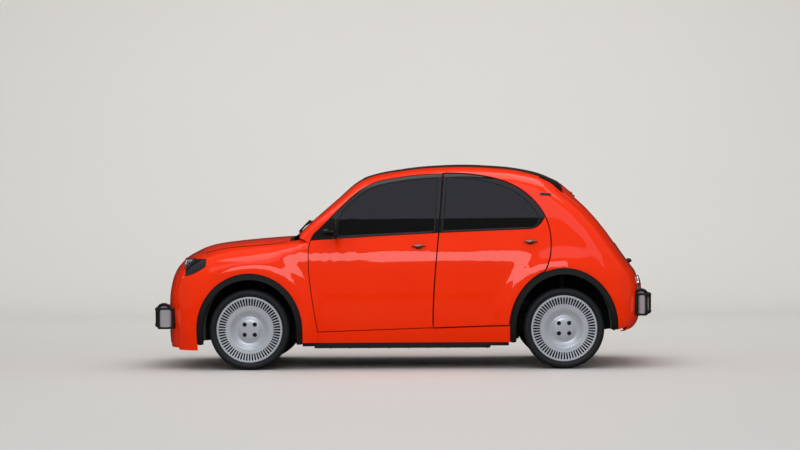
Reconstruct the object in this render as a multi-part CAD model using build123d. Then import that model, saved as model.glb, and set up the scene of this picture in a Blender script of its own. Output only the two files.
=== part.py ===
from build123d import *
from math import cos, hypot, radians, sin
import os

# A small five-door electric hatchback with separate-looking round wings.
# Frame: +X to the rear, +Y to the car's right, +Z up, origin on the ground in the middle of the car.

# ---------------------------------------------------------------- driving dimensions, mm
length = 3920                # over both bumpers
wheelbase = 2405
front_overhang = 795         # front axle to the face of the front bumper
half_width = 800             # body side at its widest, without the wheel arch flares
roof_height = 1589
belt_height = 950            # the lines of the body above this follow the roof height
track = 1420
flare = 28                   # how far the wheel arches stand out from the side

tyre_radius = 309
tyre_width = 180
bead_radius = 229
tyre_fit = 0.3               # tyre bead to rim seat
arch_band = 43               # width of the black band round each arch
front_arch_half = 402        # half length of the front arch opening in the paint
front_arch_rise = 428        # arch opening above the wheel centre
rear_arch_half = 410
rear_arch_rise = 458

skin = 22                    # outer layer of a door or side
door_depth = 62              # whole door, outer skin to trim
frame_gap = 6                # closed door to the frame behind it
frame_depth = 48             # pillar and sill frame behind the doors
seam = 2                     # open joint between fixed panels
shut_gap = 6                 # shut lines at hinges and sills
swing_gap = 10               # shut lines at the swinging edges
lid_gap = 8                  # bonnet and tailgate to the panels beside them
frame_inset = 34             # how far the inner layers step in from a door's edge
panel = 16                   # bonnet and wings
panel_depth = 24             # nose and tail panels
roof_skin = 24
shelf_half = 380              # shelf under the roof's rear end, over the tailgate's hinges
shelf_depth = 52
glass = 5
glass_inset = 3              # glass below the outer skin
mirror_foot = (584, 1054)     # drawn station and height of the mirror's foot
mirror_head_at = (667, 1082)
mirror_size = (36, 160, 162)
mirror_gap = 34              # mirror head to the window glass
steer_pin_y = 664            # kingpins, from the middle of the car
running_gap = 0.5            # wheel hub to its axle flange
seat_fit = 0.3               # pieces that rest against each other

gate_depth = 45              # whole tailgate
gate_glass_inset = 24        # the rear window lies deep in the tailgate
gate_window_half = (375, 365, 300)       # foot, waist and head of the rear window
gate_window_z = (960, 1150, 1330)
tail_lamp_y = 400
tail_lamp_z = 640
tail_lamp_r = 62
lamp_y = 572                 # headlamp pods
lamp_z = 786
lamp_radius = 72
lamp_fit = 0.4               # wing and front panel to the pod
lamp_front = -512            # drawn stations of the pod's two ends
lamp_back = -340

bumper_half = 640
bumper_bow = 84              # how far the bumper's ends lie behind its middle
bumper_arm_y = 380
front_bumper_depth = 98
rear_bumper_depth = 60
front_bumper_z = (325, 461)  # lower and upper edge
rear_bumper_z = (411, 556)
tow_eye_y = 330
tow_eye_r = 9
tow_eye_deep = 60

sill_low = 205
sill_trim_low = 178          # black strip under the sill
sill_trim_out = 750
sill_trim_in = 700
floor_low = 236
floor_thick = 20
battery_low = 150
subframe_low = 140
subframe_top = 172

hub_face = 30                # wheel's mounting face, outboard of its middle
axle_radius = 32
pin_top = 433                # top and foot of the steered uprights
pin_low = 185
damper_x = 72                # front damper behind the axle
damper_y = 500
damper_radius = 28
rear_damper_radius = 30
liner_outside = 20           # arch opening to the liner's two faces
liner_inside = 28
liner_wall = 440             # liner's inner wall from the middle of the car
wheel_centre = (860, -370, 880)          # steering wheel: drawn station, side, height
wheel_tilt = 65              # its axis from upright
wheel_rim = 172
seat_y = 370
seat_half = 240

# ---------------------------------------------------------------- the body's lines
# The lines are drawn on this grid and then stretched to the driving dimensions.
drawn_wheelbase = 2405
drawn_roof = 1589
drawn_half_width = 800
front_axle = -length / 2 + front_overhang


def sx(x):
    """Station in the car's frame of a point drawn x behind the front axle."""
    if x <= 0:
        return front_axle + x
    if x >= drawn_wheelbase:
        return front_axle + wheelbase + x - drawn_wheelbase
    return front_axle + x * wheelbase / drawn_wheelbase


def sz(z):
    """Height of a point drawn at z."""
    if z <= belt_height:
        return z
    return belt_height + (z - belt_height) * (roof_height - belt_height) / (drawn_roof - belt_height)


def unsx(x):
    """Drawn station of a place in the car's frame."""
    d = x - front_axle
    if d <= 0:
        return d
    if d >= wheelbase:
        return d - wheelbase + drawn_wheelbase
    return d * drawn_wheelbase / wheelbase


def unsz(z):
    """Drawn height of a height in the car's frame."""
    if z <= belt_height:
        return z
    return belt_height + (z - belt_height) * (drawn_roof - belt_height) / (roof_height - belt_height)


def through(points, x):
    """Height at x of a smooth curve through the points, straight beyond its ends."""
    n = len(points)
    if x <= points[0][0]:
        i = 0
    elif x >= points[-1][0]:
        i = n - 2
    else:
        i = max(k for k in range(n - 1) if points[k][0] <= x)

    def chord(k):
        return (points[k + 1][1] - points[k][1]) / (points[k + 1][0] - points[k][0])

    def slope(k):
        if k == 0:
            return chord(0)
        if k == n - 1:
            return chord(n - 2)
        left, right = chord(k - 1), chord(k)
        if left * right <= 0:
            return 0
        return 2 * left * right / (left + right)

    (xa, ya), (xb, yb) = points[i], points[i + 1]
    if x < xa:
        return ya + slope(0) * (x - xa)
    if x > xb:
        return yb + slope(n - 1) * (x - xb)
    w = xb - xa
    t = (x - xa) / w
    return ((1 + 2 * t) * (1 - t) ** 2 * ya + t * (1 - t) ** 2 * w * slope(i)
            + t * t * (3 - 2 * t) * yb - t * t * (1 - t) * w * slope(i + 1))


# middle line of the bonnet and of the cabin, (station, height)
bonnet_line = [(-681, 540), (-669, 670), (-646, 756), (-604, 820), (-552, 868), (-474, 914), (-312, 968),
               (-150, 991), (12, 1007), (254, 1025), (480, 1036)]
cabin_line = [(300, 1004), (416, 1109), (660, 1325), (822, 1464), (903, 1503), (1065, 1541), (1387, 1580),
              (1629, 1589), (1951, 1573), (2192, 1534), (2353, 1475), (2513, 1367), (2668, 1221),
              (2796, 1059), (2903, 897), (2984, 785), (3020, 730), (3036, 640), (3042, 520)]
# front and rear end of the body at each height, (height, station)
nose_line = [(150, -669), (300, -678), (540, -681), (670, -669), (756, -646), (820, -604), (868, -552),
             (914, -474)]
tail_line = [(150, 2860), (262, 2915), (300, 2985), (350, 3020), (420, 3038), (520, 3042), (640, 3036),
             (730, 3020), (785, 2984), (897, 2903), (1059, 2796), (1221, 2668), (1367, 2513)]
# half width of the cabin's side, (height, half width)
side_line = [(150, 738), (210, 752), (300, 777), (430, 796), (560, 800), (700, 798), (850, 785),
             (950, 756), (1100, 706), (1300, 630), (1450, 566), (1600, 502)]
# how far down the roof or bonnet edge rounds into the side, (station, depth)
shoulder_line = [(-700, 300), (-200, 250), (100, 235), (330, 150), (460, 90), (700, 125), (900, 140),
                 (1100, 140), (2000, 160), (2400, 215), (3040, 260)]
shoulder_power = 2.9
nose_round = 420
nose_power = 3
tail_round = 360
tail_power = 2.9


def rounded(d, r, p):
    """Superelliptic corner: 0 at the edge, 1 from r inwards."""
    if d <= 0:
        return d / r
    if d >= r:
        return 1.0
    return (1 - (1 - d / r) ** p) ** (1 / p)


def flare_at(x, z):
    """Stand-out of the wheel arch flares at a drawn point."""
    out = 0
    for wheel in (0, drawn_wheelbase):
        r = hypot(x - wheel, (z - tyre_radius) * 0.93)
        t = min(max((590 - r) / 150, 0), 1)
        out = max(out, t * t * (3 - 2 * t))
    return flare * out


def half_at(x, z, top):
    """Half width of the body at a drawn station and height, below a given top line."""
    side = through(side_line, z) * rounded(through(top, x) - z, through(shoulder_line, x), shoulder_power)
    nose = rounded(x - through(nose_line, min(z, nose_line[-1][0])), nose_round, nose_power)
    tail = rounded(through(tail_line, min(z, tail_line[-1][0])) - x, tail_round, tail_power)
    ends = min(nose, 1.0) * min(tail, 1.0) if nose > 0 and tail > 0 else min(nose, tail)
    if side <= 0 or ends <= 0:
        return min(side, ends * 100)
    return (side + flare_at(x, z)) * ends * half_width / drawn_half_width


def height_at(x, y, top):
    """Height in the car's frame of the body at a drawn station, y from the middle."""
    high = through(top, x)
    low = high - 700
    for _ in range(40):
        mid = (low + high) / 2
        if half_at(x, mid, top) > abs(y):
            low = mid
        else:
            high = mid
    return sz(low)


def end_at(y, z, top, rear):
    """Station in the car's frame of the nose or the tail, y from the middle at height z."""
    inside, outside = (2300, 3100) if rear else (100, -720)
    zd = unsz(z)
    for _ in range(40):
        mid = (inside + outside) / 2
        if half_at(mid, zd, top) > abs(y) + 0.01:
            inside = mid
        else:
            outside = mid
    return sx(inside)


# ---------------------------------------------------------------- lines shared by panels
def edge_at(x):
    """Half width of the windscreen and roof at a drawn station."""
    return through(edge_line, x) * half_width / drawn_half_width


def gate_half(z):
    """Half width of the tailgate opening at a drawn height."""
    return through(gate_line, z) * half_width / drawn_half_width


def bonnet_half(x):
    """Half width of the bonnet at a drawn station."""
    return through(bonnet_edge, x) * half_width / drawn_half_width


def nose_half(z):
    """Half width of the front panel at a drawn height."""
    return through(nose_edge, z) * half_width / drawn_half_width


edge_line = [(330, 640), (860, 440), (1000, 405), (2000, 400), (2350, 452)]
gate_line = [(300, 585), (700, 578), (900, 562), (1200, 520), (1420, 470), (1500, 452)]
bonnet_edge = [(-700, 400), (-560, 462), (-369, 560), (-100, 598), (150, 614), (340, 622)]
nose_edge = [(150, 705), (600, 705), (700, 692), (760, 668), (820, 570), (860, 480)]
cowl_line = [(262, 1003), (304, 1012), (366, 1055), (420, 1060)]

door_front = [(497, 1040), (466, 975), (455, 870), (460, 740), (487, 520), (524, 292)]
front_sill = [(524, 292), (1400, 321)]
b_line = [(1400, 321), (1405, 530), (1424, 797), (1442, 988), (1462, 1240), (1482, 1500)]
roof_arc = [(1482, 1500), (1310, 1492), (1077, 1461), (925, 1420), (845, 1371), (692, 1235), (497, 1040)]
b_line_rear = [(1486 + swing_gap, 1500), (1466 + swing_gap, 1240), (1442 + swing_gap, 988),
               (1424 + swing_gap, 797), (1405 + swing_gap, 530), (1400 + swing_gap, 321)]
rear_sill = [(1400 + swing_gap, 321), (1984, 339)]
rear_arch_side = [(1984, 339), (1998, 430), (2049, 557), (2148, 680), (2256, 748)]
rear_arc = [(2256, 748), (2294, 850), (2307, 983), (2290, 1100), (2241, 1214), (2159, 1312),
            (2007, 1418), (1853, 1468), (1640, 1499), (1486 + swing_gap, 1500)]
front_window = [[(640, 1018), (1418, 1052)], [(1418, 1052), (1436, 1240), (1452, 1472)],
                [(1452, 1472), (1310, 1464), (1077, 1433), (930, 1392), (862, 1350), (712, 1219)],
                [(712, 1219), (640, 1018)]]
rear_window = [[(1478, 1056), (2130, 1078)], [(2130, 1078), (2198, 1092), (2224, 1136), (2205, 1200)],
               [(2205, 1200), (2130, 1294), (1990, 1389), (1845, 1438), (1640, 1470), (1512, 1472)],
               [(1512, 1472), (1496, 1240), (1478, 1056)]]
nose_seam = [(-562, 610), (-546, 670), (-505, 722)]
wing_outline = [[(-562, 150), (-562, 610)], nose_seam, [(-505, 722), (-505, 1150)],
                [(-505, 1150), (372, 1150)], [(372, 1150), (372, 1006)],
                [(372, 1006), (420, 992), (453, 958)],
                [(453, 958), (449, 870), (454, 740), (481, 520), (518, 292)],
                [(518, 292), (518, 150)], [(518, 150), (-562, 150)]]
screen_base = 372
screen_top = 868
roof_end = 2415
bonnet_back = 300
bonnet_front = -566
firewall_back = sx(402)
gate_low = 566
gate_top = 1478
panel_low = 275


# ---------------------------------------------------------------- small builders
def steps(a, b, n):
    return [a + (b - a) * i / n for i in range(n + 1)]


def slab(face, direction, near, far):
    """The layer of a skin face between two depths along a direction."""
    d = Vector(*direction)
    return Solid.extrude(face.moved(Location(d * near)), d * (far - near))


def outline(runs, by=0):
    """Closed face from runs of drawn points, stepped out by a distance, or in if negative.

    Two points are a line, more are a curve. Neighbouring runs meet where their ends, carried on, cross.
    """
    curves = []
    for run in runs:
        points = [(sx(x), sz(z)) for x, z in run]
        curves.append(Line(*points) if len(points) == 2 else Spline(*points))
    if by == 0:
        return make_face(curves)
    area = 0
    for curve in curves:
        spots = [curve @ t for t in steps(0, 1, 8)]
        area += sum(a.X * b.Y - b.X * a.Y for a, b in zip(spots, spots[1:]))
    turn = 1 if area > 0 else -1

    def moved(curve, t):
        at, way = curve @ t, curve % t
        return Vector(at.X + way.Y * turn * by, at.Y - way.X * turn * by)

    corners = []
    for before, after in zip([curves[-1]] + curves[:-1], curves):
        p, u, q, v = moved(before, 1), before % 1, moved(after, 0), after % 0
        cross = u.X * v.Y - u.Y * v.X
        if abs(cross) < 0.05:
            corners.append((p + q) * 0.5)
        else:
            k = ((q.X - p.X) * v.Y - (q.Y - p.Y) * v.X) / cross
            corners.append(p + u * k)
    edges = []
    for i, curve in enumerate(curves):
        start, end = corners[i], corners[(i + 1) % len(curves)]
        if len(runs[i]) == 2:
            edges.append(Line(start, end))
            continue
        spots = [moved(curve, t) for t in steps(0.08, 0.92, 7)]
        way = end - start
        spots = [s for s in spots if (s - start).length > abs(by) * 0.7 and (end - s).length > abs(by) * 0.7]
        edges.append(Spline(start, *spots, end))
    return make_face(edges)


def side_cut(face, near=1100, far=100):
    """Left-hand prism of a side view outline."""
    return Pos(0, -far, 0) * extrude(Plane.XZ * face, amount=near - far, dir=(0, -1, 0))


def block(x0, x1, y0, y1, z0, z1):
    """Box between corners in the car's frame."""
    return Pos((x0 + x1) / 2, (y0 + y1) / 2, (z0 + z1) / 2) * Box(abs(x1 - x0), abs(y1 - y0), abs(z1 - z0))


def rod(a, b, radius):
    """Round bar from a to b."""
    a, b = Vector(*a), Vector(*b)
    return extrude(Plane(a, z_dir=b - a) * Circle(radius), amount=(b - a).length)


def right_of(part):
    return mirror(part, about=Plane.XZ)


def one(shape):
    """The largest solid of a shape."""
    return max(shape.solids(), key=lambda s: s.volume)


def arch_face(wheel_x, half, rise, low):
    """Arch opening in the side view: half an ellipse on straight sides down to low."""
    x, z = wheel_x, tyre_radius
    crown = EllipticalCenterArc((x, z), half, rise, 0, arc_size=180)
    return make_face([crown, Line((x - half, z), (x - half, low)), Line((x - half, low), (x + half, low)),
                      Line((x + half, low), (x + half, z))])


# ---------------------------------------------------------------- skins
def lofted(rows):
    """One smooth face through rows of points, all rows with the same parameters."""
    n = len(rows[0]) - 1
    wires = [Wire([Edge.make_spline([Vector(*p) for p in row], parameters=[i / n for i in range(n + 1)])])
             for row in rows]
    return Shell.make_loft(wires, ruled=False).faces()[0]


def side_skin():
    """Left side of the body from the windscreen pillar round to the tail, sill to roof edge."""
    tops = []
    for x in steps(380, 2350, 32):
        tops.append((x, unsz(height_at(x, edge_at(x), cabin_line))))
    for z in steps(tops[-1][1] - 40, 330, 20):
        tops.append((unsx(end_at(gate_half(z), sz(z), cabin_line, True)), z))
    feet = [(x, sill_low) for x in steps(400, 2100, 32)]
    feet += [(2100 + 33 * k, sill_low + 4 * k) for k in range(1, 22)]
    rows = []
    for (xt, zt), (xb, zb) in zip(tops, feet):
        row = []
        for u in steps(0, 1, 24):
            t = 1 - (1 - u) ** 1.6
            x = xb + (xt - xb) * t
            z = zb + (zt - zb) * t
            row.append((sx(x), -half_at(x, z, cabin_line), sz(z)))
        rows.append(row)
    return lofted(rows)


def top_skin(x0, x1, half, top, nx=26, ny=20):
    """Upper skin between two stations, out to the half width half(x)."""
    rows = []
    for x in steps(x0, x1, nx):
        h = half(x)
        rows.append([(sx(x), y, height_at(x, y, top)) for y in steps(-h, h, ny)])
    return lofted(rows)


def end_skin(half, z0, z1, top, rear, ny=24, nz=26):
    """Nose or tail skin between two drawn heights, out to the half width half(z)."""
    rows = []
    for z in steps(z0, z1, nz):
        h = half(z)
        rows.append([(end_at(y, sz(z), top, rear), y, sz(z)) for y in steps(-h, h, ny)])
    return lofted(rows)


def wing_skin():
    """Left front wing, as rays from a line inside it."""
    rows = []
    for x in steps(-580, 540, 34):
        row = []
        for a in steps(-62, 76, 30):
            cy, cz = 380, 560
            near, far = 0.0, 900.0
            for _ in range(36):
                mid = (near + far) / 2
                y = (cy + mid * cos(radians(a))) * drawn_half_width / half_width
                if half_at(x, cz + mid * sin(radians(a)), bonnet_line) > y * half_width / drawn_half_width:
                    near = mid
                else:
                    far = mid
            row.append((sx(x), -(cy + near * cos(radians(a))), sz(cz + near * sin(radians(a)))))
        rows.append(row)
    return lofted(rows)


# ---------------------------------------------------------------- places
front_x = sx(0)
rear_x = sx(drawn_wheelbase)
wheel_y = track / 2
inward = (0, 1, 0)
wing_inward = (0, 0.72, -0.69)
side = side_skin()
wing = wing_skin()
front_door = [door_front, front_sill, b_line, roof_arc]
rear_door = [rear_sill, rear_arch_side, rear_arc, b_line_rear]
front_arch_face = arch_face(front_x, front_arch_half, front_arch_rise, 100)
rear_arch_face = arch_face(rear_x, rear_arch_half, rear_arch_rise, 100)
frame_near = door_depth + frame_gap
wall = frame_near + frame_depth


def lamp_pod(grow):
    """Left headlamp: a round pod that stands out of the wing."""
    r = lamp_radius + grow
    x0, x1 = sx(lamp_front) - grow, sx(lamp_back) + grow
    return rod((x0, -lamp_y, lamp_z), (x1, -lamp_y, lamp_z), r)


# ---------------------------------------------------------------- body
gate_skin = end_skin(gate_half, gate_low, gate_top, cabin_line, True)


def gate_cutter(margin):
    """Space that the tailgate takes, with a margin all round."""
    grown = end_skin(lambda z: gate_half(z) + margin - shut_gap + seam, gate_low - 30, gate_top, cabin_line, True)
    return slab(grown, (-1, 0, 0), -60, gate_depth + margin)


def wing_space():
    """Space that the left front wing takes over the body behind it."""
    return slab(wing, wing_inward, -60, panel + seat_fit) & side_cut(outline(wing_outline, seam))


def roof_cutter():
    """Space over the side rails that the roof and the windscreen take."""
    roof = slab(top_skin(screen_top, roof_end + 10, lambda x: edge_at(x) + seam, cabin_line), (0, 0, -1), -40,
                roof_skin + seat_fit)
    screen = slab(top_skin(screen_base - 10, screen_top + 2, lambda x: edge_at(x) + seam, cabin_line),
                  (0, 0, -1), -40, glass_inset + glass + seat_fit)
    return [roof, screen]


def body_side():
    """Left body side: pillars, sill, roof rail and rear quarter in one."""
    body = slab(side, inward, 0, wall)
    for runs, gap in ((front_door, shut_gap), (rear_door, swing_gap)):
        pocket = slab(side, inward, -30, frame_near) & side_cut(outline(runs, gap))
        body = body - pocket - side_cut(outline(runs, -62))
    body -= side_cut(rear_arch_face)
    body -= wing_space()
    body -= side_cut(front_arch_face)
    for cutter in roof_cutter():
        body -= cutter
    body -= gate_cutter(lid_gap)
    tail_skin = end_skin(lambda z: gate_half(z) + seam, panel_low - 60, gate_low, cabin_line, True)
    body -= slab(tail_skin, (-1, 0, 0), -60, panel_depth + seat_fit)
    pads = slab(side, inward, door_depth + running_gap, frame_near + 2)
    for x in (door_front[2][0] + 38, b_line_rear[2][0] + 42):
        for z in (430, 820):
            body += pads & block(sx(x), sx(x) + 20, -1000, -300, z, z + 90)
    return one(body)


def roof():
    sheet = slab(top_skin(screen_top + 3, roof_end, lambda x: edge_at(x) - 1, cabin_line), (0, 0, -1), 0, roof_skin)
    shelf = slab(top_skin(roof_end - 40, roof_end + 40, lambda x: shelf_half, cabin_line), (0, 0, -1),
                 roof_skin - 2, shelf_depth)
    shelf -= slab(gate_skin, (-1, 0, 0), -80, gate_depth + running_gap)
    return one(sheet + shelf)


def windscreen():
    return slab(top_skin(screen_base, screen_top - 1, lambda x: edge_at(x) - 1, cabin_line), (0, 0, -1),
                glass_inset, glass_inset + glass)


def bulkhead():
    cowl = slab(top_skin(bonnet_back + 5, 404, lambda x: 596, cowl_line), (0, 0, -1), 0, 18)
    shelf = slab(top_skin(bonnet_back - 34, bonnet_back + 12, lambda x: 520, bonnet_line), (0, 0, -1),
                 panel + running_gap, panel + 22)
    over = slab(top_skin(330, 440, lambda x: 660, cowl_line), (0, 0, -1), -160, 10)
    b = cowl + shelf + (block(sx(384), firewall_back, -636, 636, sill_low, 1075) - over)
    for taken in (slab(side, inward, -30, wall + seat_fit), wing_space()):
        b = b - taken - right_of(taken)
    return one(b)


def front_wing():
    w = slab(wing, wing_inward, 0, panel) & side_cut(outline(wing_outline))
    w -= side_cut(front_arch_face)
    w -= block(front_x, sx(600), -1200, 0, 0, sill_low)
    w -= bonnet_prism(lid_gap)
    w -= lamp_pod(lamp_fit)
    return one(w)


def bonnet_prism(margin):
    """Plan outline of the bonnet, grown by a margin, as an upright prism."""
    left = [(sx(x), -bonnet_half(x) - margin) for x in steps(-700, 420, 8)]
    right = [(x, -y) for x, y in reversed(left)]
    face = make_face([Spline(*left), Line(left[-1], right[0]), Spline(*right), Line(right[-1], left[0])])
    return Pos(0, 0, 600) * extrude(face, amount=700)


def bonnet():
    b = slab(top_skin(bonnet_front, bonnet_back, bonnet_half, bonnet_line), (0, 0, -1), 0, panel)
    pod = lamp_pod(lid_gap)
    return one(b - pod - right_of(pod))


def front_panel():
    p = slab(end_skin(nose_half, 165, 860, bonnet_line, False), (1, 0, 0), 0, panel_depth)
    p -= side_cut(outline(wing_outline, seam), 900, -900)
    p -= block(sx(bonnet_front) - swing_gap, sx(-300), -800, 800, 600, 1000) & bonnet_prism(lid_gap)
    pod = lamp_pod(lamp_fit)
    p = p - pod - right_of(pod)
    for y in (-bumper_arm_y, bumper_arm_y):
        p -= bumper_arm(y, True)
    return one(p)


def rear_panel():
    skin_face = end_skin(lambda z: gate_half(z) - 1, panel_low, gate_low - shut_gap, cabin_line, True)
    p = slab(skin_face, (-1, 0, 0), 0, panel_depth)
    for y in (-bumper_arm_y, bumper_arm_y):
        p -= bumper_arm(y, False)
    return one(p)


# ---------------------------------------------------------------- bumpers


def bumper_arm(y, front):
    z0, z1 = front_bumper_z if front else rear_bumper_z
    x0, x1 = (-length / 2 + 40, sx(-560)) if front else (sx(2900), length / 2 - 40)
    return block(x0, x1, y - 35, y + 35, z0 + 30, z1 - 30)


def bumper(front):
    """Bowed bar with round ends on two arms."""
    z0, z1 = front_bumper_z if front else rear_bumper_z
    face_x = -length / 2 if front else length / 2
    s = 1 if front else -1
    bumper_depth = front_bumper_depth if front else rear_bumper_depth
    end_x, back_x = face_x + s * bumper_bow, face_x + s * bumper_depth
    inner_x = end_x + s * bumper_depth
    outer = ThreePointArc((end_x, -bumper_half), (face_x, 0), (end_x, bumper_half))
    inner = ThreePointArc((inner_x, bumper_half), (back_x, 0), (inner_x, -bumper_half))
    plan = make_face([outer, Line(outer @ 1, inner @ 0), inner, Line(inner @ 1, outer @ 0)])
    bar = Pos(0, 0, z0) * extrude(plan, amount=z1 - z0)
    bar = fillet(bar.edges().filter_by(Axis.Z), 24)
    for y in (-bumper_arm_y, bumper_arm_y):
        bar += bumper_arm(y, front)
    middle = (z0 + z1) / 2
    bar -= rod((face_x - s * 10, tow_eye_y, middle), (face_x + s * tow_eye_deep, tow_eye_y, middle),
               tow_eye_r)
    return one(bar)


# ---------------------------------------------------------------- cladding and liners
def arch_band_solid(front):
    x, half, rise = arch_of(front)
    base = wing if front else side
    ring = side_cut(arch_face(x, half - seat_fit, rise - seat_fit, 196))
    ring -= side_cut(arch_face(x, half - arch_band, rise - arch_band, 150))
    if not front:
        ring -= block(x, x + 600, -1200, 0, 0, 300)
    return one(slab(base, inward, -5, skin) & ring)


def arch_of(front):
    """Axle station, half length and rise of an arch opening."""
    if front:
        return front_x, front_arch_half, front_arch_rise
    return rear_x, rear_arch_half, rear_arch_rise


def liner_crown(front, off):
    """Height of the liner's inner face at a distance off the axle."""
    _, half, rise = arch_of(front)
    run = (off / (half - liner_inside)) ** 2
    return tyre_radius + (rise - liner_inside) * (1 - run) ** 0.5


def liner(front):
    x, half, rise = arch_of(front)
    base = wing if front else side
    outer = side_cut(arch_face(x, half - liner_outside, rise - liner_outside, 215), 1100, liner_wall)
    inner = side_cut(arch_face(x, half - liner_inside, rise - liner_inside, 150), 1100,
                     liner_wall + liner_inside - liner_outside)
    opening = 150 if front else 330
    shell_solid = outer - inner - block(x - opening, x + 150, -460, -400, 100, 540)
    keep = slab(base, inward, skin + seat_fit, 420)
    return one(shell_solid & keep)


def sill_trim():
    """Black strip under the left sill, between the arch bands."""
    return block(sx(404), sx(1984), -sill_trim_out, -sill_trim_in, sill_trim_low,
                 sill_low - seat_fit)


# ---------------------------------------------------------------- doors
def door(front):
    runs = front_door if front else rear_door
    window = outline(front_window if front else rear_window)
    outer = slab(side, inward, 0, skin) & side_cut(outline(runs))
    inner = slab(side, inward, skin - 1, door_depth) & side_cut(outline(runs, -frame_inset))
    d = one(outer + inner)
    return one(d - side_cut(window))


def door_glass(front):
    window = outline(front_window if front else rear_window)
    return one(slab(side, inward, glass_inset, glass_inset + glass) & side_cut(window))


def mirror_head():
    """Left door mirror: round foot on the window corner, short arm, slim upright head."""
    foot_x, foot_z, head_x, head_z = mirror_foot[0], mirror_foot[1], mirror_head_at[0], mirror_head_at[1]
    skin_y = -half_at(foot_x, foot_z, cabin_line)
    head_y = -half_at(head_x, head_z, cabin_line) - mirror_gap - mirror_size[1] / 2
    foot = rod((sx(foot_x), skin_y + 12, sz(foot_z)), (sx(foot_x), skin_y - 22, sz(foot_z)), 30)
    arm = rod((sx(foot_x), skin_y - 14, sz(foot_z)), (sx(head_x), head_y + 20, sz(foot_z)), 13)
    head = Pos(sx(head_x), head_y, sz(head_z)) * Box(*mirror_size)
    head = fillet(head.edges(), mirror_size[0] / 2 - 1.5)
    m = one(foot + arm + head)
    return one(m - slab(side, inward, -seat_fit, 60))


# ---------------------------------------------------------------- tailgate
def tailgate():
    g = slab(gate_skin_cut, (-1, 0, 0), 0, gate_depth)
    g &= block(sx(roof_end) + shut_gap, sx(3200), -900, 900, 300, 1700)
    g -= gate_window()
    for y in (-1, 1):
        g -= tail_lamp_bore(y)
    return one(g)


gate_skin_cut = end_skin(lambda z: gate_half(z) - shut_gap, gate_low, gate_top, cabin_line, True)


def tail_lamp_bore(s):
    return rod((sx(2700), s * tail_lamp_y, tail_lamp_z), (sx(3300), s * tail_lamp_y, tail_lamp_z), tail_lamp_r)


def tail_lamp(s):
    return one(slab(gate_skin_cut, (-1, 0, 0), -8, 30) & tail_lamp_bore(s))


def gate_window():
    """Rear window, as a prism along the car."""
    foot, waist, head = gate_window_half
    low, mid, high = [sz(z) for z in gate_window_z]
    face = make_face([Line((-foot, low), (foot, low)), Spline((foot, low), (waist, mid), (head, high)),
                      Line((head, high), (-head, high)), Spline((-head, high), (-waist, mid), (-foot, low))])
    return Pos(sx(2300), 0, 0) * extrude(Plane.YZ * face, amount=900)


def tailgate_glass():
    pane = slab(gate_skin_cut, (-1, 0, 0), gate_glass_inset, gate_glass_inset + glass + 1)
    return one(pane & gate_window())


# ---------------------------------------------------------------- wheels and running gear
def spun(points, y, side_sign):
    """Turned part about a wheel axle: (radius, distance outboard of the wheel's middle)."""
    face = make_face(Polyline(*[(w * side_sign, r) for r, w in points], close=True))
    return Pos(0, y, 0) * Rot(0, 0, 90) * revolve(face, Axis.X, 360)


rim_points = [(0, 62), (60, 60), (82, 55), (93, 48), (116, 48), (146, 70), (184, 74), (238, 82), (250, 80),
              (250, 73), (232, 71), (bead_radius, 66), (bead_radius, -68), (243, -74), (243, -82), (226, -84),
              (217, -76), (217, 50), (184, 60), (146, 56), (116, 34), (62, hub_face), (0, hub_face)]
tread = tyre_radius
bulge = tyre_width / 2
tyre_points = [(bead_radius + tyre_fit, 66), (bead_radius + tyre_fit, -66), (250, -74), (262, 6 - bulge),
               (280, -bulge), (tread - 12, 6 - bulge), (tread - 3, 18 - bulge), (tread, 32 - bulge),
               (tread, bulge - 32), (tread - 3, bulge - 18), (tread - 12, bulge - 6), (280, bulge),
               (262, bulge - 4), (252, 74), (252, 71), (240, 69)]


def wheel(s, x):
    return Pos(x, 0, tyre_radius) * spun(rim_points, s * wheel_y, s)


def tyre(s, x):
    return Pos(x, 0, tyre_radius) * spun(tyre_points, s * wheel_y, s)


def knuckle():
    """Left front upright with its axle stub."""
    up = block(front_x - 38, front_x + 38, -steer_pin_y - 16, -steer_pin_y + 16, pin_low, pin_top)
    stub_end = -wheel_y - hub_face + running_gap
    stub = rod((front_x, -steer_pin_y, tyre_radius), (front_x, stub_end, tyre_radius), axle_radius)
    flange = rod((front_x, -steer_pin_y - 16, tyre_radius), (front_x, -steer_pin_y - 30, tyre_radius), 55)
    return one(up + stub + flange)


def front_suspension():
    parts = [block(front_x - 160, front_x + 160, -350, 350, subframe_low, subframe_top)]
    for s in (-1, 1):
        lower = block(front_x - 30, front_x + 30, s * 340, s * (steer_pin_y + 20), 152, pin_low - running_gap)
        upper = block(front_x - 20, front_x + 20, s * 360, s * (steer_pin_y + 16), pin_top + running_gap,
                      pin_top + 20)
        post = block(front_x - 30, front_x + 30, s * 330, s * 366, 150, pin_top + 20)
        arm = block(front_x + 20, front_x + damper_x + 33, s * (damper_y - 30), s * (damper_y + 30), 152, 176)
        damper_head = liner_crown(True, damper_x + damper_radius) - running_gap
        damper = rod((front_x + damper_x, s * damper_y, 170), (front_x + damper_x, s * damper_y, damper_head),
                     damper_radius)
        parts += [lower, upper, post, arm, damper]
    rack = rod((front_x + 120, -420, 250), (front_x + 120, 420, 250), 22)
    rack_foot = block(front_x + 100, front_x + 140, -300, 300, 165, 245)
    body = parts[0]
    for p in parts[1:] + [rack, rack_foot]:
        body += p
    return one(body)


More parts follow.
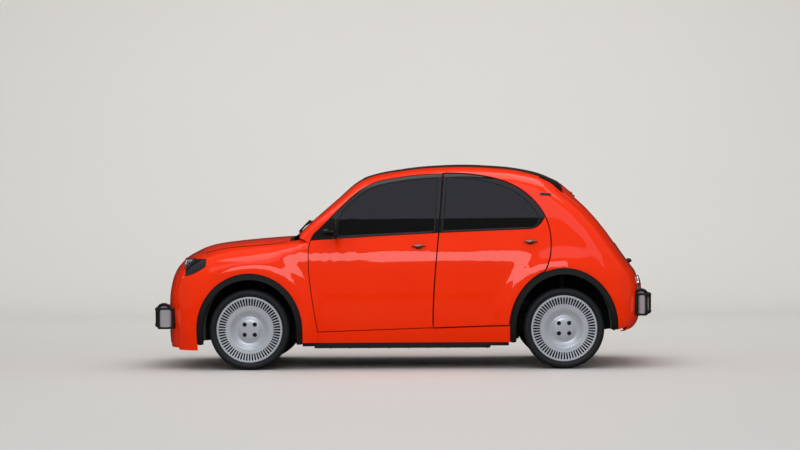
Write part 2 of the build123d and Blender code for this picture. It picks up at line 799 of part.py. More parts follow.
def rear_suspension():
    x = rear_x
    beam = rod((x - 260, -560, 300), (x - 260, 560, 300), 38)
    body = beam
    for s in (-1, 1):
        body += block(x - 300, x + 50, s * 585, s * 612, 262, 352)
        body += block(x - 300, x - 220, s * 540, s * 612, 262, 338)
        body += rod((x, s * 600, tyre_radius), (x, s * (wheel_y + hub_face - running_gap), tyre_radius),
                    axle_radius)
        body += block(x - 40, x + 40, s * 480, s * 600, 318, 345)
        damper_head = liner_crown(False, rear_damper_radius) - running_gap
        body += rod((x, s * 525, 330), (x, s * 525, damper_head), rear_damper_radius)
    return one(body)


def front_rails():
    body = block(sx(-560), sx(-520), -520, 520, 340, 440)
    for s in (-1, 1):
        body += block(sx(-560), sx(384), s * 372, s * 432, 350, 430)
    return one(body)


# ---------------------------------------------------------------- cabin


def floor_pan():
    step_x = rear_x - 380
    pan = block(sx(402), step_x, -640, 640, floor_low, floor_low + floor_thick)
    pan -= block(sx(1940), step_x, -900, -438, 200, 300)
    pan -= block(sx(1940), step_x, 438, 900, 200, 300)
    kick = block(step_x - floor_thick, step_x, -436, 436, floor_low, 400)
    boot = block(step_x - floor_thick, sx(2900), -436, 436, 392, 412)
    return one(pan + kick + boot)


def battery_pack():
    pack = block(sx(480), sx(1850), -540, 540, battery_low, floor_low - running_gap)
    return fillet(pack.edges().filter_by(Axis.Z), 30)


def drive_motor():
    return block(front_x - 250, front_x + 60, -300, 300, subframe_top + seat_fit, 620)


def dashboard():
    front = firewall_back + seat_fit
    profile = make_face(Polyline((front, 700), (front, 960), (sx(520), 985), (sx(700), 960), (sx(745), 900),
                                 (sx(720), 760), (sx(640), 700), close=True))
    dash = Pos(0, 620, 0) * extrude(Plane.XZ * profile, amount=1240)
    return one(dash)


def steering_axis_plane():
    x, y, z = wheel_centre
    return Plane((sx(x), y, z), z_dir=(sin(radians(wheel_tilt)), 0, cos(radians(wheel_tilt))))


def steering_wheel():
    p = steering_axis_plane()
    rim = p * Torus(wheel_rim, 14)
    hub = p * Pos(0, 0, -22) * Cylinder(46, 44)
    body = rim + hub
    for a in (0, 180, 270):
        spoke = p * Rot(0, 0, a) * Pos(105, 0, -12) * Box(140, 34, 14)
        body += spoke
    return one(body)


def steering_column():
    p = steering_axis_plane()
    col = p * Pos(0, 0, -44 - running_gap - 90) * Cylinder(30, 180)
    return one(col - dashboard())


def seat(y):
    """Front seat: rails, cushion and back in one soft block each."""
    cushion = fillet(block(sx(1040), sx(1500), y - seat_half, y + seat_half, 400, 540).edges(), 40)
    back = Pos(sx(1560), y, 800) * Rot(0, 16, 0) * Box(110, 2 * seat_half - 20, 560)
    back = fillet(back.edges(), 40)
    head = Pos(sx(1665), y, 1165) * Rot(0, 16, 0) * fillet(Box(80, 260, 180).edges(), 34)
    base = block(sx(1100), sx(1450), y - seat_half + 50, y + seat_half - 50, floor_low + floor_thick, 420)
    return one(base + cushion + back + head)


def rear_seat():
    cushion = fillet(block(sx(1760), sx(2250), -425, 425, 412.5, 560).edges(), 40)
    back = Pos(sx(2330), 0, 800) * Rot(0, 18, 0) * fillet(Box(110, 850, 560).edges(), 40)
    base = block(sx(1800), rear_x - 400, -400, 400, 256, 440)
    return one(cushion + back + base)


# ---------------------------------------------------------------- write
def save(name, *solids):
    export_step(solids[0] if len(solids) == 1 else Compound(children=list(solids)), "parts/" + name + ".step")


def pair(solid):
    return solid, right_of(solid)


def build():
    os.makedirs("parts", exist_ok=True)
    save("body_sides", *pair(body_side()))
    save("roof_panel", roof())
    save("windscreen", windscreen())
    save("bulkhead", bulkhead())
    save("front_wings", *pair(front_wing()))
    save("end_panels", front_panel(), rear_panel())
    save("headlamps", *pair(lamp_pod(0)))
    save("bumpers", bumper(True), bumper(False))
    save("cladding", *pair(arch_band_solid(True)), *pair(arch_band_solid(False)), *pair(sill_trim()))
    save("wheel_liners", *pair(liner(True)), *pair(liner(False)))
    save("front_rails", front_rails())
    save("floor_pan", floor_pan())
    save("front_suspension", front_suspension())
    save("rear_suspension", rear_suspension())
    save("battery_pack", battery_pack())
    save("drive_motor", drive_motor())
    save("dashboard", dashboard())
    save("steering_column", steering_column())
    save("front_seats", seat(-seat_y), seat(seat_y))
    save("rear_seat", rear_seat())
    save("bonnet", bonnet())
    save("tailgate", tailgate())
    save("tailgate_glass", tailgate_glass())
    save("tail_lamps", tail_lamp(-1), tail_lamp(1))
    save("steering_wheel", steering_wheel())
    for name, front in (("front", True), ("rear", False)):
        d, g = door(front), door_glass(front)
        save(name + "_door_left", d)
        save(name + "_door_right", right_of(d))
        save(name + "_window_left", g)
        save(name + "_window_right", right_of(g))
    m = mirror_head()
    save("mirror_left", m)
    save("mirror_right", right_of(m))
    k = knuckle()
    save("knuckle_left", k)
    save("knuckle_right", right_of(k))
    for name, x in (("front", front_x), ("rear", rear_x)):
        for hand, s in (("left", -1), ("right", 1)):
            save(name + "_wheel_" + hand, wheel(s, x))
            save(name + "_tyre_" + hand, tyre(s, x))


if __name__ == "__main__":
    build()
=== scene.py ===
"""Looks of a small five-door electric hatchback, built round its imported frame.

Frame: +X to the rear, +Y to the car's right, +Z up, in metres, origin on the ground in the middle.
Each class below is one sub-assembly of the car. It holds its sizes and builds and dresses its pieces.
"""

import logging
import math
from dataclasses import dataclass
from enum import Enum
from functools import lru_cache

import bmesh
import bpy
from mathutils import Matrix, Vector
from mathutils.bvhtree import BVHTree


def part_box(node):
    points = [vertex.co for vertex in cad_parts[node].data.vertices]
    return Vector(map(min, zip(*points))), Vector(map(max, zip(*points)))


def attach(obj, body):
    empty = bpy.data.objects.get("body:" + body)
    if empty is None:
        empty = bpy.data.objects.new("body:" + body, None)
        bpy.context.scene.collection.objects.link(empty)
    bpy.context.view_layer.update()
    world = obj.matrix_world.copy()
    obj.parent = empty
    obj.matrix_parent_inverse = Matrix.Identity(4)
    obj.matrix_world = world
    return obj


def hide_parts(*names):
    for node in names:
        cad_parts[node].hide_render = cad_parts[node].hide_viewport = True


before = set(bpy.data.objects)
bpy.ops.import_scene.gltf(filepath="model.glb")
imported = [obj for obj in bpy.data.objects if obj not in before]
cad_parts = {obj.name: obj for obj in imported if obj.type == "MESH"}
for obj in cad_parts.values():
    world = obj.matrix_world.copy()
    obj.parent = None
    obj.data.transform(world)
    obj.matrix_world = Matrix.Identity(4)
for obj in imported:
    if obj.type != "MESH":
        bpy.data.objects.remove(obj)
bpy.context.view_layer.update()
log = logging.getLogger("hatchback")

BMesh = bmesh.types.BMesh
Triple = tuple[float, float, float]
Place = Triple | Vector
Outline = list[tuple[float, float]]
Spot = tuple[Vector, Vector]  # a place on a surface and the outward direction there

MM = 0.001
FULL_TURN = 2 * math.pi
LEFT = Vector((0, -1, 0))
RIGHT = Vector((0, 1, 0))
FORWARD = Vector((-1, 0, 0))
REARWARD = Vector((1, 0, 0))
UP = Vector((0, 0, 1))
BESIDE, BEYOND = 2.0, 3.0  # how far out rays start, clear of the car
TINY, WELD = 1e-6, 2e-5  # lengths under which points count as one, in drawn and in CAD meshes
HANDS = {"left": -1, "right": 1}


# ------------------------------------------------------------------ finishes
class Relief(Enum):
    """How the surface of a finish was made, which gives its fine relief."""

    SPRAYED = "sprayed"
    MOULDED = "moulded"
    BRUSHED = "brushed"
    WOVEN = "woven"
    CAST = "cast"
    NEEDLED = "needled"


SPRAYED, MOULDED, BRUSHED, WOVEN, CAST, NEEDLED = Relief


@dataclass(frozen=True)
class Finish:
    """A finish of the car: colours, gloss and fine relief.

    Colours are sRGB hex. Sizes ending in _mm are real sizes on the surface.
    """

    name: str
    colour: str
    shade: str
    roughness: float
    relief: Relief
    grain_mm: float
    depth_mm: float
    metallic: float = 0.0
    ior: float = 1.5
    coat: float = 0.0
    clear: float = 0.0
    sheen: float = 0.0
    glow: float = 0.0
    drift_mm: float = 90.0
    rough_spread: float = 0.06


@dataclass(frozen=True)
class TwoTone(Finish):
    """A sprayed panel whose upper part, above the belt line, is in a second colour."""

    upper: str = "#0B0C0E"
    upper_shade: str = "#101114"


@dataclass(frozen=True)
class BandedGlass(Finish):
    """Side glass with a black printed band along its foot, which rises slightly to the rear."""

    band: str = "#050506"
    band_at: float = 1.150
    band_slope: float = 0.0246


def linear(hex_colour: str) -> tuple[float, float, float, float]:
    """Turn an sRGB hex colour to linear RGBA.

    Args:
        hex_colour: colour such as "#F03A17".

    Returns:
        Linear red, green and blue, with an alpha of 1.
    """
    parts = [int(hex_colour[i:i + 2], 16) / 255 for i in (1, 3, 5)]
    return tuple(c / 12.92 if c <= 0.04045 else ((c + 0.055) / 1.055) ** 2.4 for c in parts) + (1.0,)


def add_node(tree, kind: str, values: dict | None = None, links: dict | None = None):
    """Add one shader node with its settings and links.

    Args:
        tree: node tree that gets the node.
        kind: node type, such as "ShaderNodeTexNoise".
        values: settings and socket values, by name or by socket number.
        links: output sockets that feed this node, by input name or number.

    Returns:
        The new node.
    """
    made = tree.nodes.new(kind)
    for key, value in (values or {}).items():
        if isinstance(key, str) and key in made.bl_rna.properties:
            setattr(made, key, value)
        else:
            made.inputs[key].default_value = value
    for key, socket in (links or {}).items():
        tree.links.new(socket, made.inputs[key])
    return made


def maths(tree, operation: str, *terms):
    """Output of a Math node on numbers and sockets, in their order."""
    numbers = {i: term for i, term in enumerate(terms) if isinstance(term, float)}
    sockets = {i: term for i, term in enumerate(terms) if not isinstance(term, float)}
    return add_node(tree, "ShaderNodeMath", {"operation": operation, **numbers}, sockets).outputs[0]


def blend(tree, share, first, second):
    """Output of a colour mix.

    Args:
        tree: node tree of the material.
        share: socket that says how much of the second colour is seen.
        first: a hex colour or a colour socket.
        second: a hex colour or a colour socket.

    Returns:
        The mixed colour's socket.
    """
    values, links = {"data_type": "RGBA"}, {0: share}
    for number, colour in ((6, first), (7, second)):
        if isinstance(colour, str):
            values[number] = linear(colour)
        else:
            links[number] = colour
    return add_node(tree, "ShaderNodeMix", values, links).outputs[2]


def relief_height(tree, place, finish: Finish):
    """Height field of a finish's fine relief.

    Args:
        tree: node tree of the material.
        place: socket with Object coordinates.
        finish: the finish, whose relief and grain are read.

    Returns:
        A socket from 0 to 1.
    """
    scale = 1000 / finish.grain_mm
    if finish.relief == MOULDED:
        cells = add_node(tree, "ShaderNodeTexVoronoi", {"feature": "SMOOTH_F1", "Scale": scale}, {"Vector": place})
        return cells.outputs["Distance"]
    if finish.relief == BRUSHED:
        drawn = add_node(tree, "ShaderNodeMapping", {"Scale": (0.04, 1.0, 1.0)}, {"Vector": place})
        lines = add_node(tree, "ShaderNodeTexNoise", {"Scale": scale, "Detail": 2.0},
                         {"Vector": drawn.outputs["Vector"]})
        return lines.outputs["Fac"]
    if finish.relief == WOVEN:
        warp, weft, rise = [add_node(tree, "ShaderNodeTexWave", {"bands_direction": way, "Scale": scale / 6.28},
                                     {"Vector": place}).outputs["Fac"] for way in "YXZ"]
        return maths(tree, "MAXIMUM", maths(tree, "MULTIPLY", warp, weft), rise)
    detail = {SPRAYED: 1.0, CAST: 6.0, NEEDLED: 3.0}[finish.relief]
    grain = add_node(tree, "ShaderNodeTexNoise", {"Scale": scale, "Detail": detail}, {"Vector": place})
    return grain.outputs["Fac"]


# the belt line, at the foot of the black window surround: a flat bow that starts behind the front axle
# (distance, height), and the steep rise of its rear corner
BELT_START = (0.541, 0.993)
BELT_SLOPE = 0.0636
BELT_BOW = -0.01098
CORNER_START = 2.13
CORNER_RISE = 33.0
COAT_ROUGHNESS = 0.02


def above_belt(tree, split, front_axle: float):
    """Mask that is 1 above the belt line and 0 below it.

    Args:
        tree: node tree of the material.
        split: node with the Object coordinates apart.
        front_axle: station of the front axle.

    Returns:
        The mask's socket.
    """
    x, z = split.outputs["X"], split.outputs["Z"]
    along = maths(tree, "SUBTRACT", x, front_axle + BELT_START[0])
    slope = maths(tree, "MULTIPLY_ADD", along, BELT_BOW, BELT_SLOPE)
    line = maths(tree, "MULTIPLY_ADD", slope, along, BELT_START[1])
    past = maths(tree, "SUBTRACT", x, front_axle + CORNER_START)
    cubed = maths(tree, "POWER", maths(tree, "MAXIMUM", past, 0.0), 3.0)
    return maths(tree, "GREATER_THAN", z, maths(tree, "MULTIPLY_ADD", cubed, CORNER_RISE, line))


@lru_cache(maxsize=None)
def material(finish: Finish) -> bpy.types.Material:
    """Build the material of a finish, once.

    Args:
        finish: the finish to build.

    Returns:
        A node material named for the finish.
    """
    made = bpy.data.materials.new(finish.name)
    made.use_nodes = True
    tree = made.node_tree
    shader = tree.nodes["Principled BSDF"]
    place = add_node(tree, "ShaderNodeTexCoord").outputs["Object"]
    patches = add_node(tree, "ShaderNodeTexNoise", {"Scale": 1000 / finish.drift_mm, "Detail": 3.0},
                       {"Vector": place}).outputs["Fac"]
    colour = blend(tree, patches, finish.colour, finish.shade)
    if isinstance(finish, TwoTone):
        upper = blend(tree, patches, finish.upper, finish.upper_shade)
        split = add_node(tree, "ShaderNodeSeparateXYZ", {}, {0: place})
        colour = blend(tree, above_belt(tree, split, FRONT_AXLE), colour, upper)
    if isinstance(finish, BandedGlass):
        split = add_node(tree, "ShaderNodeSeparateXYZ", {}, {0: place})
        line = maths(tree, "MULTIPLY_ADD", split.outputs["X"], finish.band_slope, finish.band_at)
        clear = maths(tree, "GREATER_THAN", split.outputs["Z"], line)
        colour = blend(tree, clear, finish.band, colour)
    tree.links.new(colour, shader.inputs["Base Color"])
    gloss = add_node(tree, "ShaderNodeMapRange",
                     {"To Min": max(finish.roughness - finish.rough_spread, 0.0),
                      "To Max": finish.roughness + finish.rough_spread}, {"Value": patches})
    tree.links.new(gloss.outputs["Result"], shader.inputs["Roughness"])
    if finish.depth_mm > 0:
        bump = add_node(tree, "ShaderNodeBump", {"Strength": 1.0, "Distance": finish.depth_mm * MM},
                        {"Height": relief_height(tree, place, finish)})
        tree.links.new(bump.outputs["Normal"], shader.inputs["Normal"])
    settings = {"Metallic": finish.metallic, "Coat Weight": finish.coat, "Coat Roughness": COAT_ROUGHNESS,
                "Transmission Weight": finish.clear, "Sheen Weight": finish.sheen}
    if finish.metallic < 1:
        settings["IOR"] = finish.ior
    if finish.glow:
        settings["Emission Color"] = linear(finish.colour)
        settings["Emission Strength"] = finish.glow
    for name, value in settings.items():
        shader.inputs[name].default_value = value
    if isinstance(finish, BandedGlass):
        tree.links.new(clear, shader.inputs["Transmission Weight"])
    return made


# two-coat gloss paint: a strong orange-red base under a clear coat with faint orange peel
PAINT = Finish("two_coat_gloss_paint", "#FF3500", "#FB2C00", 0.30, SPRAYED, 9.0, 0.012, coat=1.0,
               ior=1.12, drift_mm=400.0)
# the same paint on the doors, with the window surround in gloss black above the belt
DOOR_PAINT = TwoTone("two_coat_gloss_paint_and_black_surround", "#FF3500", "#FB2C00", 0.30, SPRAYED, 9.0,
                     0.012, coat=1.0, ior=1.12, drift_mm=400.0)
# gloss black lacquer of the roof panel: deep and mirror-like
BLACK_LACQUER = Finish("gloss_black_lacquer", "#0A0B0D", "#0E0F12", 0.12, SPRAYED, 9.0, 0.008, coat=1.0)
# polypropylene moulded with a leathery grain: dull, faintly shiny at low angles
GRAINED_PLASTIC = Finish("grained_polypropylene", "#141314", "#1A1919", 0.55, MOULDED, 1.6, 0.12)
# smooth black ABS housings and bezels
BLACK_ABS = Finish("smooth_black_abs", "#0E0F10", "#141516", 0.28, SPRAYED, 4.0, 0.01)
# near-black behind the wheel covers, painted shade: it takes the light so that the slots read dark
SLOT_SHADE_BLACK = Finish("painted_slot_shade_black", "#050506", "#08080A", 0.9, CAST, 4.0, 0.05)
# rubber of seals, floor mats and piping: matt and slightly grey
SEAL_RUBBER = Finish("extruded_epdm_rubber", "#101112", "#18191A", 0.6, SPRAYED, 1.2, 0.03)
# needled felt of the wheel arch liners and the rear shelf
FELT = Finish("needled_felt_liner", "#08090A", "#0E0F10", 0.95, NEEDLED, 1.5, 0.5, sheen=0.2)
# tyre rubber: blue-black, with bloom
TYRE_RUBBER = Finish("bloomed_tyre_rubber", "#17191C", "#20242A", 0.55, CAST, 1.4, 0.06, drift_mm=45.0)
# silver wheel paint, fine metallic under a satin clear coat
WHEEL_SILVER = Finish("satin_silver_wheel_paint", "#DCE3EC", "#D2D9E2", 0.34, SPRAYED, 0.9, 0.01,
                      metallic=0.5, coat=0.4)
# satin anodised aluminium of the keys on the steering wheel
SATIN_ALUMINIUM = Finish("satin_anodised_aluminium", "#B4B8BE", "#A6AAB1", 0.3, BRUSHED, 0.8, 0.02, metallic=1.0)
# satin lacquer of the bumper bars and their end blocks
BUMPER_SILVER = Finish("satin_silver_bumper_lacquer", "#BCBABF", "#B2B0B5", 0.36, SPRAYED, 1.2, 0.01,
                       metallic=0.35, coat=0.3)
# warm copper-toned metal of the door handles and the vent rings
BRIGHT_HANDLE = Finish("copper_toned_handle_metal", "#A87C6C", "#9A6F60", 0.2, BRUSHED, 1.2, 0.01, metallic=0.9)
# bright chrome of the lamp rings and the mirror glasses
CHROME = Finish("bright_chrome", "#E2E4E6", "#D6D8DA", 0.06, SPRAYED, 5.0, 0.004, metallic=1.0, rough_spread=0.02)
# tinted side glass: nearly black, with clear reflections
TINTED_GLASS = Finish("dark_tinted_glass", "#2C3238", "#282E34", 0.02, SPRAYED, 60.0, 0.0, ior=1.52,
                      clear=1.0, rough_spread=0.01)
# the same glass in the doors, with the black printed band at its foot
DOOR_GLASS = BandedGlass("dark_tinted_door_glass", "#2A2D3A", "#262935", 0.02, SPRAYED, 60.0, 0.0, ior=1.52,
                         clear=1.0, rough_spread=0.01)
# laminated windscreen: lighter, a trace of green
SCREEN_GLASS = Finish("laminated_windscreen_glass", "#6E7C7A", "#687674", 0.02, SPRAYED, 60.0, 0.0, ior=1.52,
                      clear=1.0, rough_spread=0.01)
# smoked polycarbonate of the headlamp pods, and the clear lens in them
SMOKED_LENS = Finish("smoked_polycarbonate", "#181B1F", "#1C1F24", 0.05, SPRAYED, 20.0, 0.004, ior=1.58, coat=1.0)
CLEAR_LENS = Finish("clear_polycarbonate", "#DDE2E6", "#D5DADE", 0.02, SPRAYED, 20.0, 0.0, ior=1.58,
                    clear=1.0, rough_spread=0.01)
# red acrylic lens of the tail and brake lamps, and the white light guides of the headlamps
RED_LENS = Finish("red_acrylic_lens", "#B40A0A", "#9C0808", 0.06, MOULDED, 3.2, 0.25, ior=1.49, coat=0.6)
LAMP_WHITE = Finish("light_guide_white", "#F4F6F8", "#E8EAEC", 0.2, SPRAYED, 3.0, 0.01, glow=0.35)
# woven seat cloth with 2.4 mm threads, and its lighter band between the side panels
SEAT_CLOTH = Finish("woven_seat_cloth", "#3A3D42", "#303338", 0.9, WOVEN, 2.4, 0.35, sheen=0.35)
SEAT_BAND = Finish("woven_seat_cloth_light", "#8C9096", "#7C8086", 0.88, WOVEN, 2.4, 0.35, sheen=0.35)
# the cabin: foamed dash skin, pale trim and tufted carpet
SOFT_SKIN = Finish("foamed_dash_skin", "#26282B", "#2C2E32", 0.68, MOULDED, 1.8, 0.15)
PALE_TRIM = Finish("pale_door_card_plastic", "#A9A7A2", "#9E9C98", 0.6, MOULDED, 1.5, 0.08)
CARPET = Finish("tufted_carpet", "#17181A", "#222326", 0.98, NEEDLED, 2.2, 1.0, sheen=0.3)
# electrocoated chassis steel
COATED_STEEL = Finish("electrocoated_steel", "#141517", "#1C1D20", 0.42, CAST, 5.0, 0.06)
# cast iron of the brake discs
CAST_IRON = Finish("machined_cast_iron", "#6C6A68", "#5A5654", 0.42, BRUSHED, 1.2, 0.04, metallic=0.9)
# cast aluminium of the battery case and motor, coated springs, display glass and blank plates
CAST_ALUMINIUM = Finish("sand_cast_aluminium", "#8E9094", "#7F8185", 0.5, CAST, 3.0, 0.1, metallic=0.9)
SPRING_STEEL = Finish("powder_coated_spring", "#2A2C30", "#222427", 0.4, CAST, 2.0, 0.05)
SCREEN_FACE = Finish("display_cover_glass", "#07090C", "#0A0D11", 0.08, SPRAYED, 40.0, 0.0, coat=1.0, rough_spread=0.03)
PLATE_WHITE = Finish("blank_plate_sheet", "#E6E6E2", "#DEDEDA", 0.35, SPRAYED, 2.5, 0.01, coat=0.3)


# ------------------------------------------------------------------ shapes
def block(size: Triple, radius: float, segments: int = 3, at: Place = (0, 0, 0)) -> BMesh:
    """Block with rounded edges.

    Args:
        size: full lengths along X, Y and Z.
        radius: edge radius.
        segments: facets across each rounding.
        at: the block's middle.

    Returns:
        The block's mesh.
    """
    bm = bmesh.new()
    bmesh.ops.create_cube(bm, size=1.0)
    bmesh.ops.scale(bm, vec=size, verts=bm.verts)
    bmesh.ops.bevel(bm, geom=bm.edges[:], offset=radius, segments=segments, profile=0.5, affect="EDGES",
                    material=-1)
    bmesh.ops.translate(bm, vec=at, verts=bm.verts)
    return bm


def turned(profile: Outline, steps: int = 72, unit: float = MM) -> BMesh:
    """Spin a profile about the Y axis.

    Args:
        profile: (radius, distance along Y) from one end of the outline to the other.
        steps: facets round the full turn.
        unit: the profile's unit in metres.

    Returns:
        The turned mesh, with its faces pointing outwards.
    """
    bm = bmesh.new()
    verts = [bm.verts.new((max(r * unit, 0.0), w * unit, 0.0)) for r, w in profile]
    edges = [bm.edges.new(two) for two in zip(verts, verts[1:])]
    bmesh.ops.spin(bm, geom=verts + edges, cent=(0, 0, 0), axis=(0, 1, 0), angle=FULL_TURN, steps=steps,
                   use_merge=True)
    bmesh.ops.remove_doubles(bm, verts=bm.verts, dist=TINY)
    bmesh.ops.recalc_face_normals(bm, faces=bm.faces)
    return bm


def rod(a: Place, b: Place, radius: float, segments: int = 20) -> BMesh:
    """Round bar from a to b with small chamfers at its ends."""
    a, b = Vector(a), Vector(b)
    way = b - a
    bm = bmesh.new()
    bmesh.ops.create_cone(bm, cap_ends=True, segments=segments, radius1=radius, radius2=radius, depth=way.length)
    ends = [e for e in bm.edges if abs(abs(e.verts[0].co.z) - way.length / 2) < TINY
            and abs(e.verts[0].co.z - e.verts[1].co.z) < TINY]
    bmesh.ops.bevel(bm, geom=ends, offset=min(radius * 0.15, way.length * 0.2), segments=2, profile=0.5,
                    affect="EDGES", material=-1)
    turn = way.to_track_quat("Z", "Y").to_matrix().to_4x4()
    return moved(bm, Matrix.Translation((a + b) / 2) @ turn)


def ball(centre: Triple, radii: Triple, rings: int) -> BMesh:
    """Ellipsoid about a centre."""
    bm = bmesh.new()
    bmesh.ops.create_uvsphere(bm, u_segments=rings * 2, v_segments=rings, radius=1.0)
    bmesh.ops.scale(bm, vec=radii, verts=bm.verts)
    bmesh.ops.translate(bm, vec=centre, verts=bm.verts)
    return bm


def bead(path: list[Spot], section: Outline, closed: bool = False) -> BMesh:
    """Sweep a small closed section along a path that lies on a surface.

    Args:
        path: places and the surface's outward direction at each.
        section: (across the path, out of the surface) corners of the section.
        closed: whether the path's end joins its start.

    Returns:
        The bead's mesh.
    """
    bm = bmesh.new()
    n = len(path)
    rings = []
    for i, (at, out) in enumerate(path):
        before = path[(i - 1) % n][0] if closed or i > 0 else at
        after = path[(i + 1) % n][0] if closed or i < n - 1 else at
        along = (after - before).normalized()
        across = along.cross(out).normalized()
        out = across.cross(along).normalized()
        rings.append([bm.verts.new(at + across * a + out * b) for a, b in section])
    loops = [[bm.edges.new((ring[k], ring[(k + 1) % len(ring)])) for k in range(len(ring))] for ring in rings]
    for one, two in list(zip(loops, loops[1:])) + ([(loops[-1], loops[0])] if closed else []):
        bmesh.ops.bridge_loops(bm, edges=one + two)
    if not closed:
        for ring in (rings[0], rings[-1]):
            bm.faces.new(ring)
    bmesh.ops.recalc_face_normals(bm, faces=bm.faces)
    return bm


def round_section(width: float, height: float, count: int = 8) -> Outline:
    """Oval section of a bead, half sunk in its surface."""
    return [(width / 2 * math.cos(FULL_TURN * k / count), height * math.sin(FULL_TURN * k / count))
            for k in range(count)]


def flat_section(width: float, low: float, high: float) -> Outline:
    """Strip section with eased upper corners, from low to high above the surface."""
    ease = min(width, high - low) * 0.25
    return [(-width / 2, low), (-width / 2, high - ease), (-width / 2 + ease, high), (width / 2 - ease, high),
            (width / 2, high - ease), (width / 2, low)]


def closed_run(corners: Outline, count: int) -> Outline:
    """Even points along the straight sides of a closed outline, count on each side."""
    return [(x + (nx - x) * k / count, z + (nz - z) * k / count)
            for (x, z), (nx, nz) in zip(corners, corners[1:] + corners[:1]) for k in range(count)]


def joined(parts: list[BMesh]) -> BMesh:
    """One mesh from several, which are freed."""
    whole = bmesh.new()
    for part in parts:
        carrier = bpy.data.meshes.new("carrier")
        part.to_mesh(carrier)
        part.free()
        whole.from_mesh(carrier)
        bpy.data.meshes.remove(carrier)
    return whole


def moved(bm: BMesh, matrix: Matrix) -> BMesh:
    """The same mesh after a transform, turned right side out if the transform mirrors it."""
    bmesh.ops.transform(bm, matrix=matrix, verts=bm.verts)
    if matrix.determinant() < 0:
        bmesh.ops.reverse_faces(bm, faces=bm.faces)
    return bm


def to_side(bm: BMesh, hand: str) -> BMesh:
    """A mesh drawn for the left side of the car, on the side that is asked for."""
    return bm if hand == "left" else moved(bm, Matrix.Scale(-1, 4, RIGHT))


def both_sides(bm: BMesh) -> BMesh:
    """A mesh drawn for the left side of the car, with its mirror image on the right."""
    return joined([to_side(bm.copy(), "right"), bm])


def seated(at: Vector, out: Vector, along: Vector) -> Matrix:
    """Placement with local X along a direction and local Z out of a surface.

    Args:
        at: the place.
        out: outward direction there.
        along: wanted direction of local X, which is laid into the surface.

    Returns:
        The placement.
    """
    z = out.normalized()
    x = (along - z * along.dot(z)).normalized()
    return Matrix.Translation(at) @ Matrix((x, z.cross(x), z)).transposed().to_4x4()


def tilted(at: Triple, degrees: float) -> Matrix:
    """Placement turned about the car's cross axis."""
    return Matrix.Translation(at) @ Matrix.Rotation(math.radians(degrees), 4, "Y")


def add_piece(name: str, bm: BMesh, finish: Finish, slot: str, body: str = "root", sharp: float = 35.0,
              replaces: tuple[str, ...] = ()) -> bpy.types.Object:
    """Make a mesh a finished piece of the car.

    Args:
        name: the piece's name.
        bm: its mesh in the car's frame, which is freed.
        finish: its finish.
        slot: name of a material slot of the record; not used.
        body: the body that it moves with.
        sharp: edges steeper than this many degrees stay sharp.
        replaces: CAD nodes that it stands for.

    Returns:
        The new object.
    """
    mesh = bpy.data.meshes.new(name)
    bm.to_mesh(mesh)
    bm.free()
    mesh.shade_smooth()
    mesh.set_sharp_from_angle(angle=math.radians(sharp))
    mesh.materials.append(material(finish))
    made = bpy.data.objects.new(name, mesh)
    bpy.context.scene.collection.objects.link(made)
    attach(made, body)
    if replaces:
        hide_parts(*replaces)
    log.info("%s: %d faces on %s", name, len(mesh.polygons), body)
    return made


def dress(finish: Finish, *nodes: str) -> None:
    """Give CAD nodes their finish."""
    for node in nodes:
        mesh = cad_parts[node].data
        mesh.materials.clear()
        mesh.materials.append(material(finish))
        log.info("%s: %s", node, finish.name)


def copied(node: str) -> BMesh:
    """Merged copy of a CAD node's mesh."""
    bm = bmesh.new()
    bm.from_mesh(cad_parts[node].data)
    bmesh.ops.remove_doubles(bm, verts=bm.verts, dist=WELD)
    return bm


def rims(node: str, looks: Vector, least: float, gap: float = 0.015) -> list[list[Spot]]:
    """Outlines of the faces of a CAD node that look one way.

    Args:
        node: name of the CAD node.
        looks: the way that the wanted faces look.
        least: smallest cosine between a face and that way.
        gap: even distance between the points of an outline.

    Returns:
        Closed outlines, longest first.
    """
    bm = copied(node)
    chosen = {f for f in bm.faces if f.normal.dot(looks) > least}
    links: dict = {}
    for edge in bm.edges:
        if sum(f in chosen for f in edge.link_faces) == 1:
            for a, b in (edge.verts, reversed(edge.verts)):
                links.setdefault(a, []).append(b)
    outlines = []
    while links:
        start = next(iter(links))
        chain = [start]
        while links.get(chain[-1]):
            there = links[chain[-1]].pop()
            links[there].remove(chain[-1])
            chain.append(there)
            if there == start:
                break
        for vert in [v for v in links if not links[v]]:
            del links[vert]
        if len(chain) > 3 and chain[-1] == start:
            spots = [(v.co.copy(), sum((f.normal for f in v.link_faces if f in chosen), Vector()).normalized())
                     for v in chain[:-1]]
            outlines.append(evenly(spots, gap))
    bm.free()
    return sorted(outlines, key=len, reverse=True)


def evenly(spots: list[Spot], gap: float) -> list[Spot]:
    """Even points along a closed outline."""
    ends = spots[1:] + spots[:1]
    lengths = [(b[0] - a[0]).length for a, b in zip(spots, ends)]
    total = sum(lengths)
    count = max(int(total / gap), 8)
    result = []
    i, run = 0, 0.0
    for k in range(count):
        want = total * k / count
        while run + lengths[i] < want:
            run += lengths[i]
            i += 1
        t = (want - run) / max(lengths[i], 1e-9)
        result.append((spots[i][0].lerp(ends[i][0], t), spots[i][1].lerp(ends[i][1], t).normalized()))
    return result


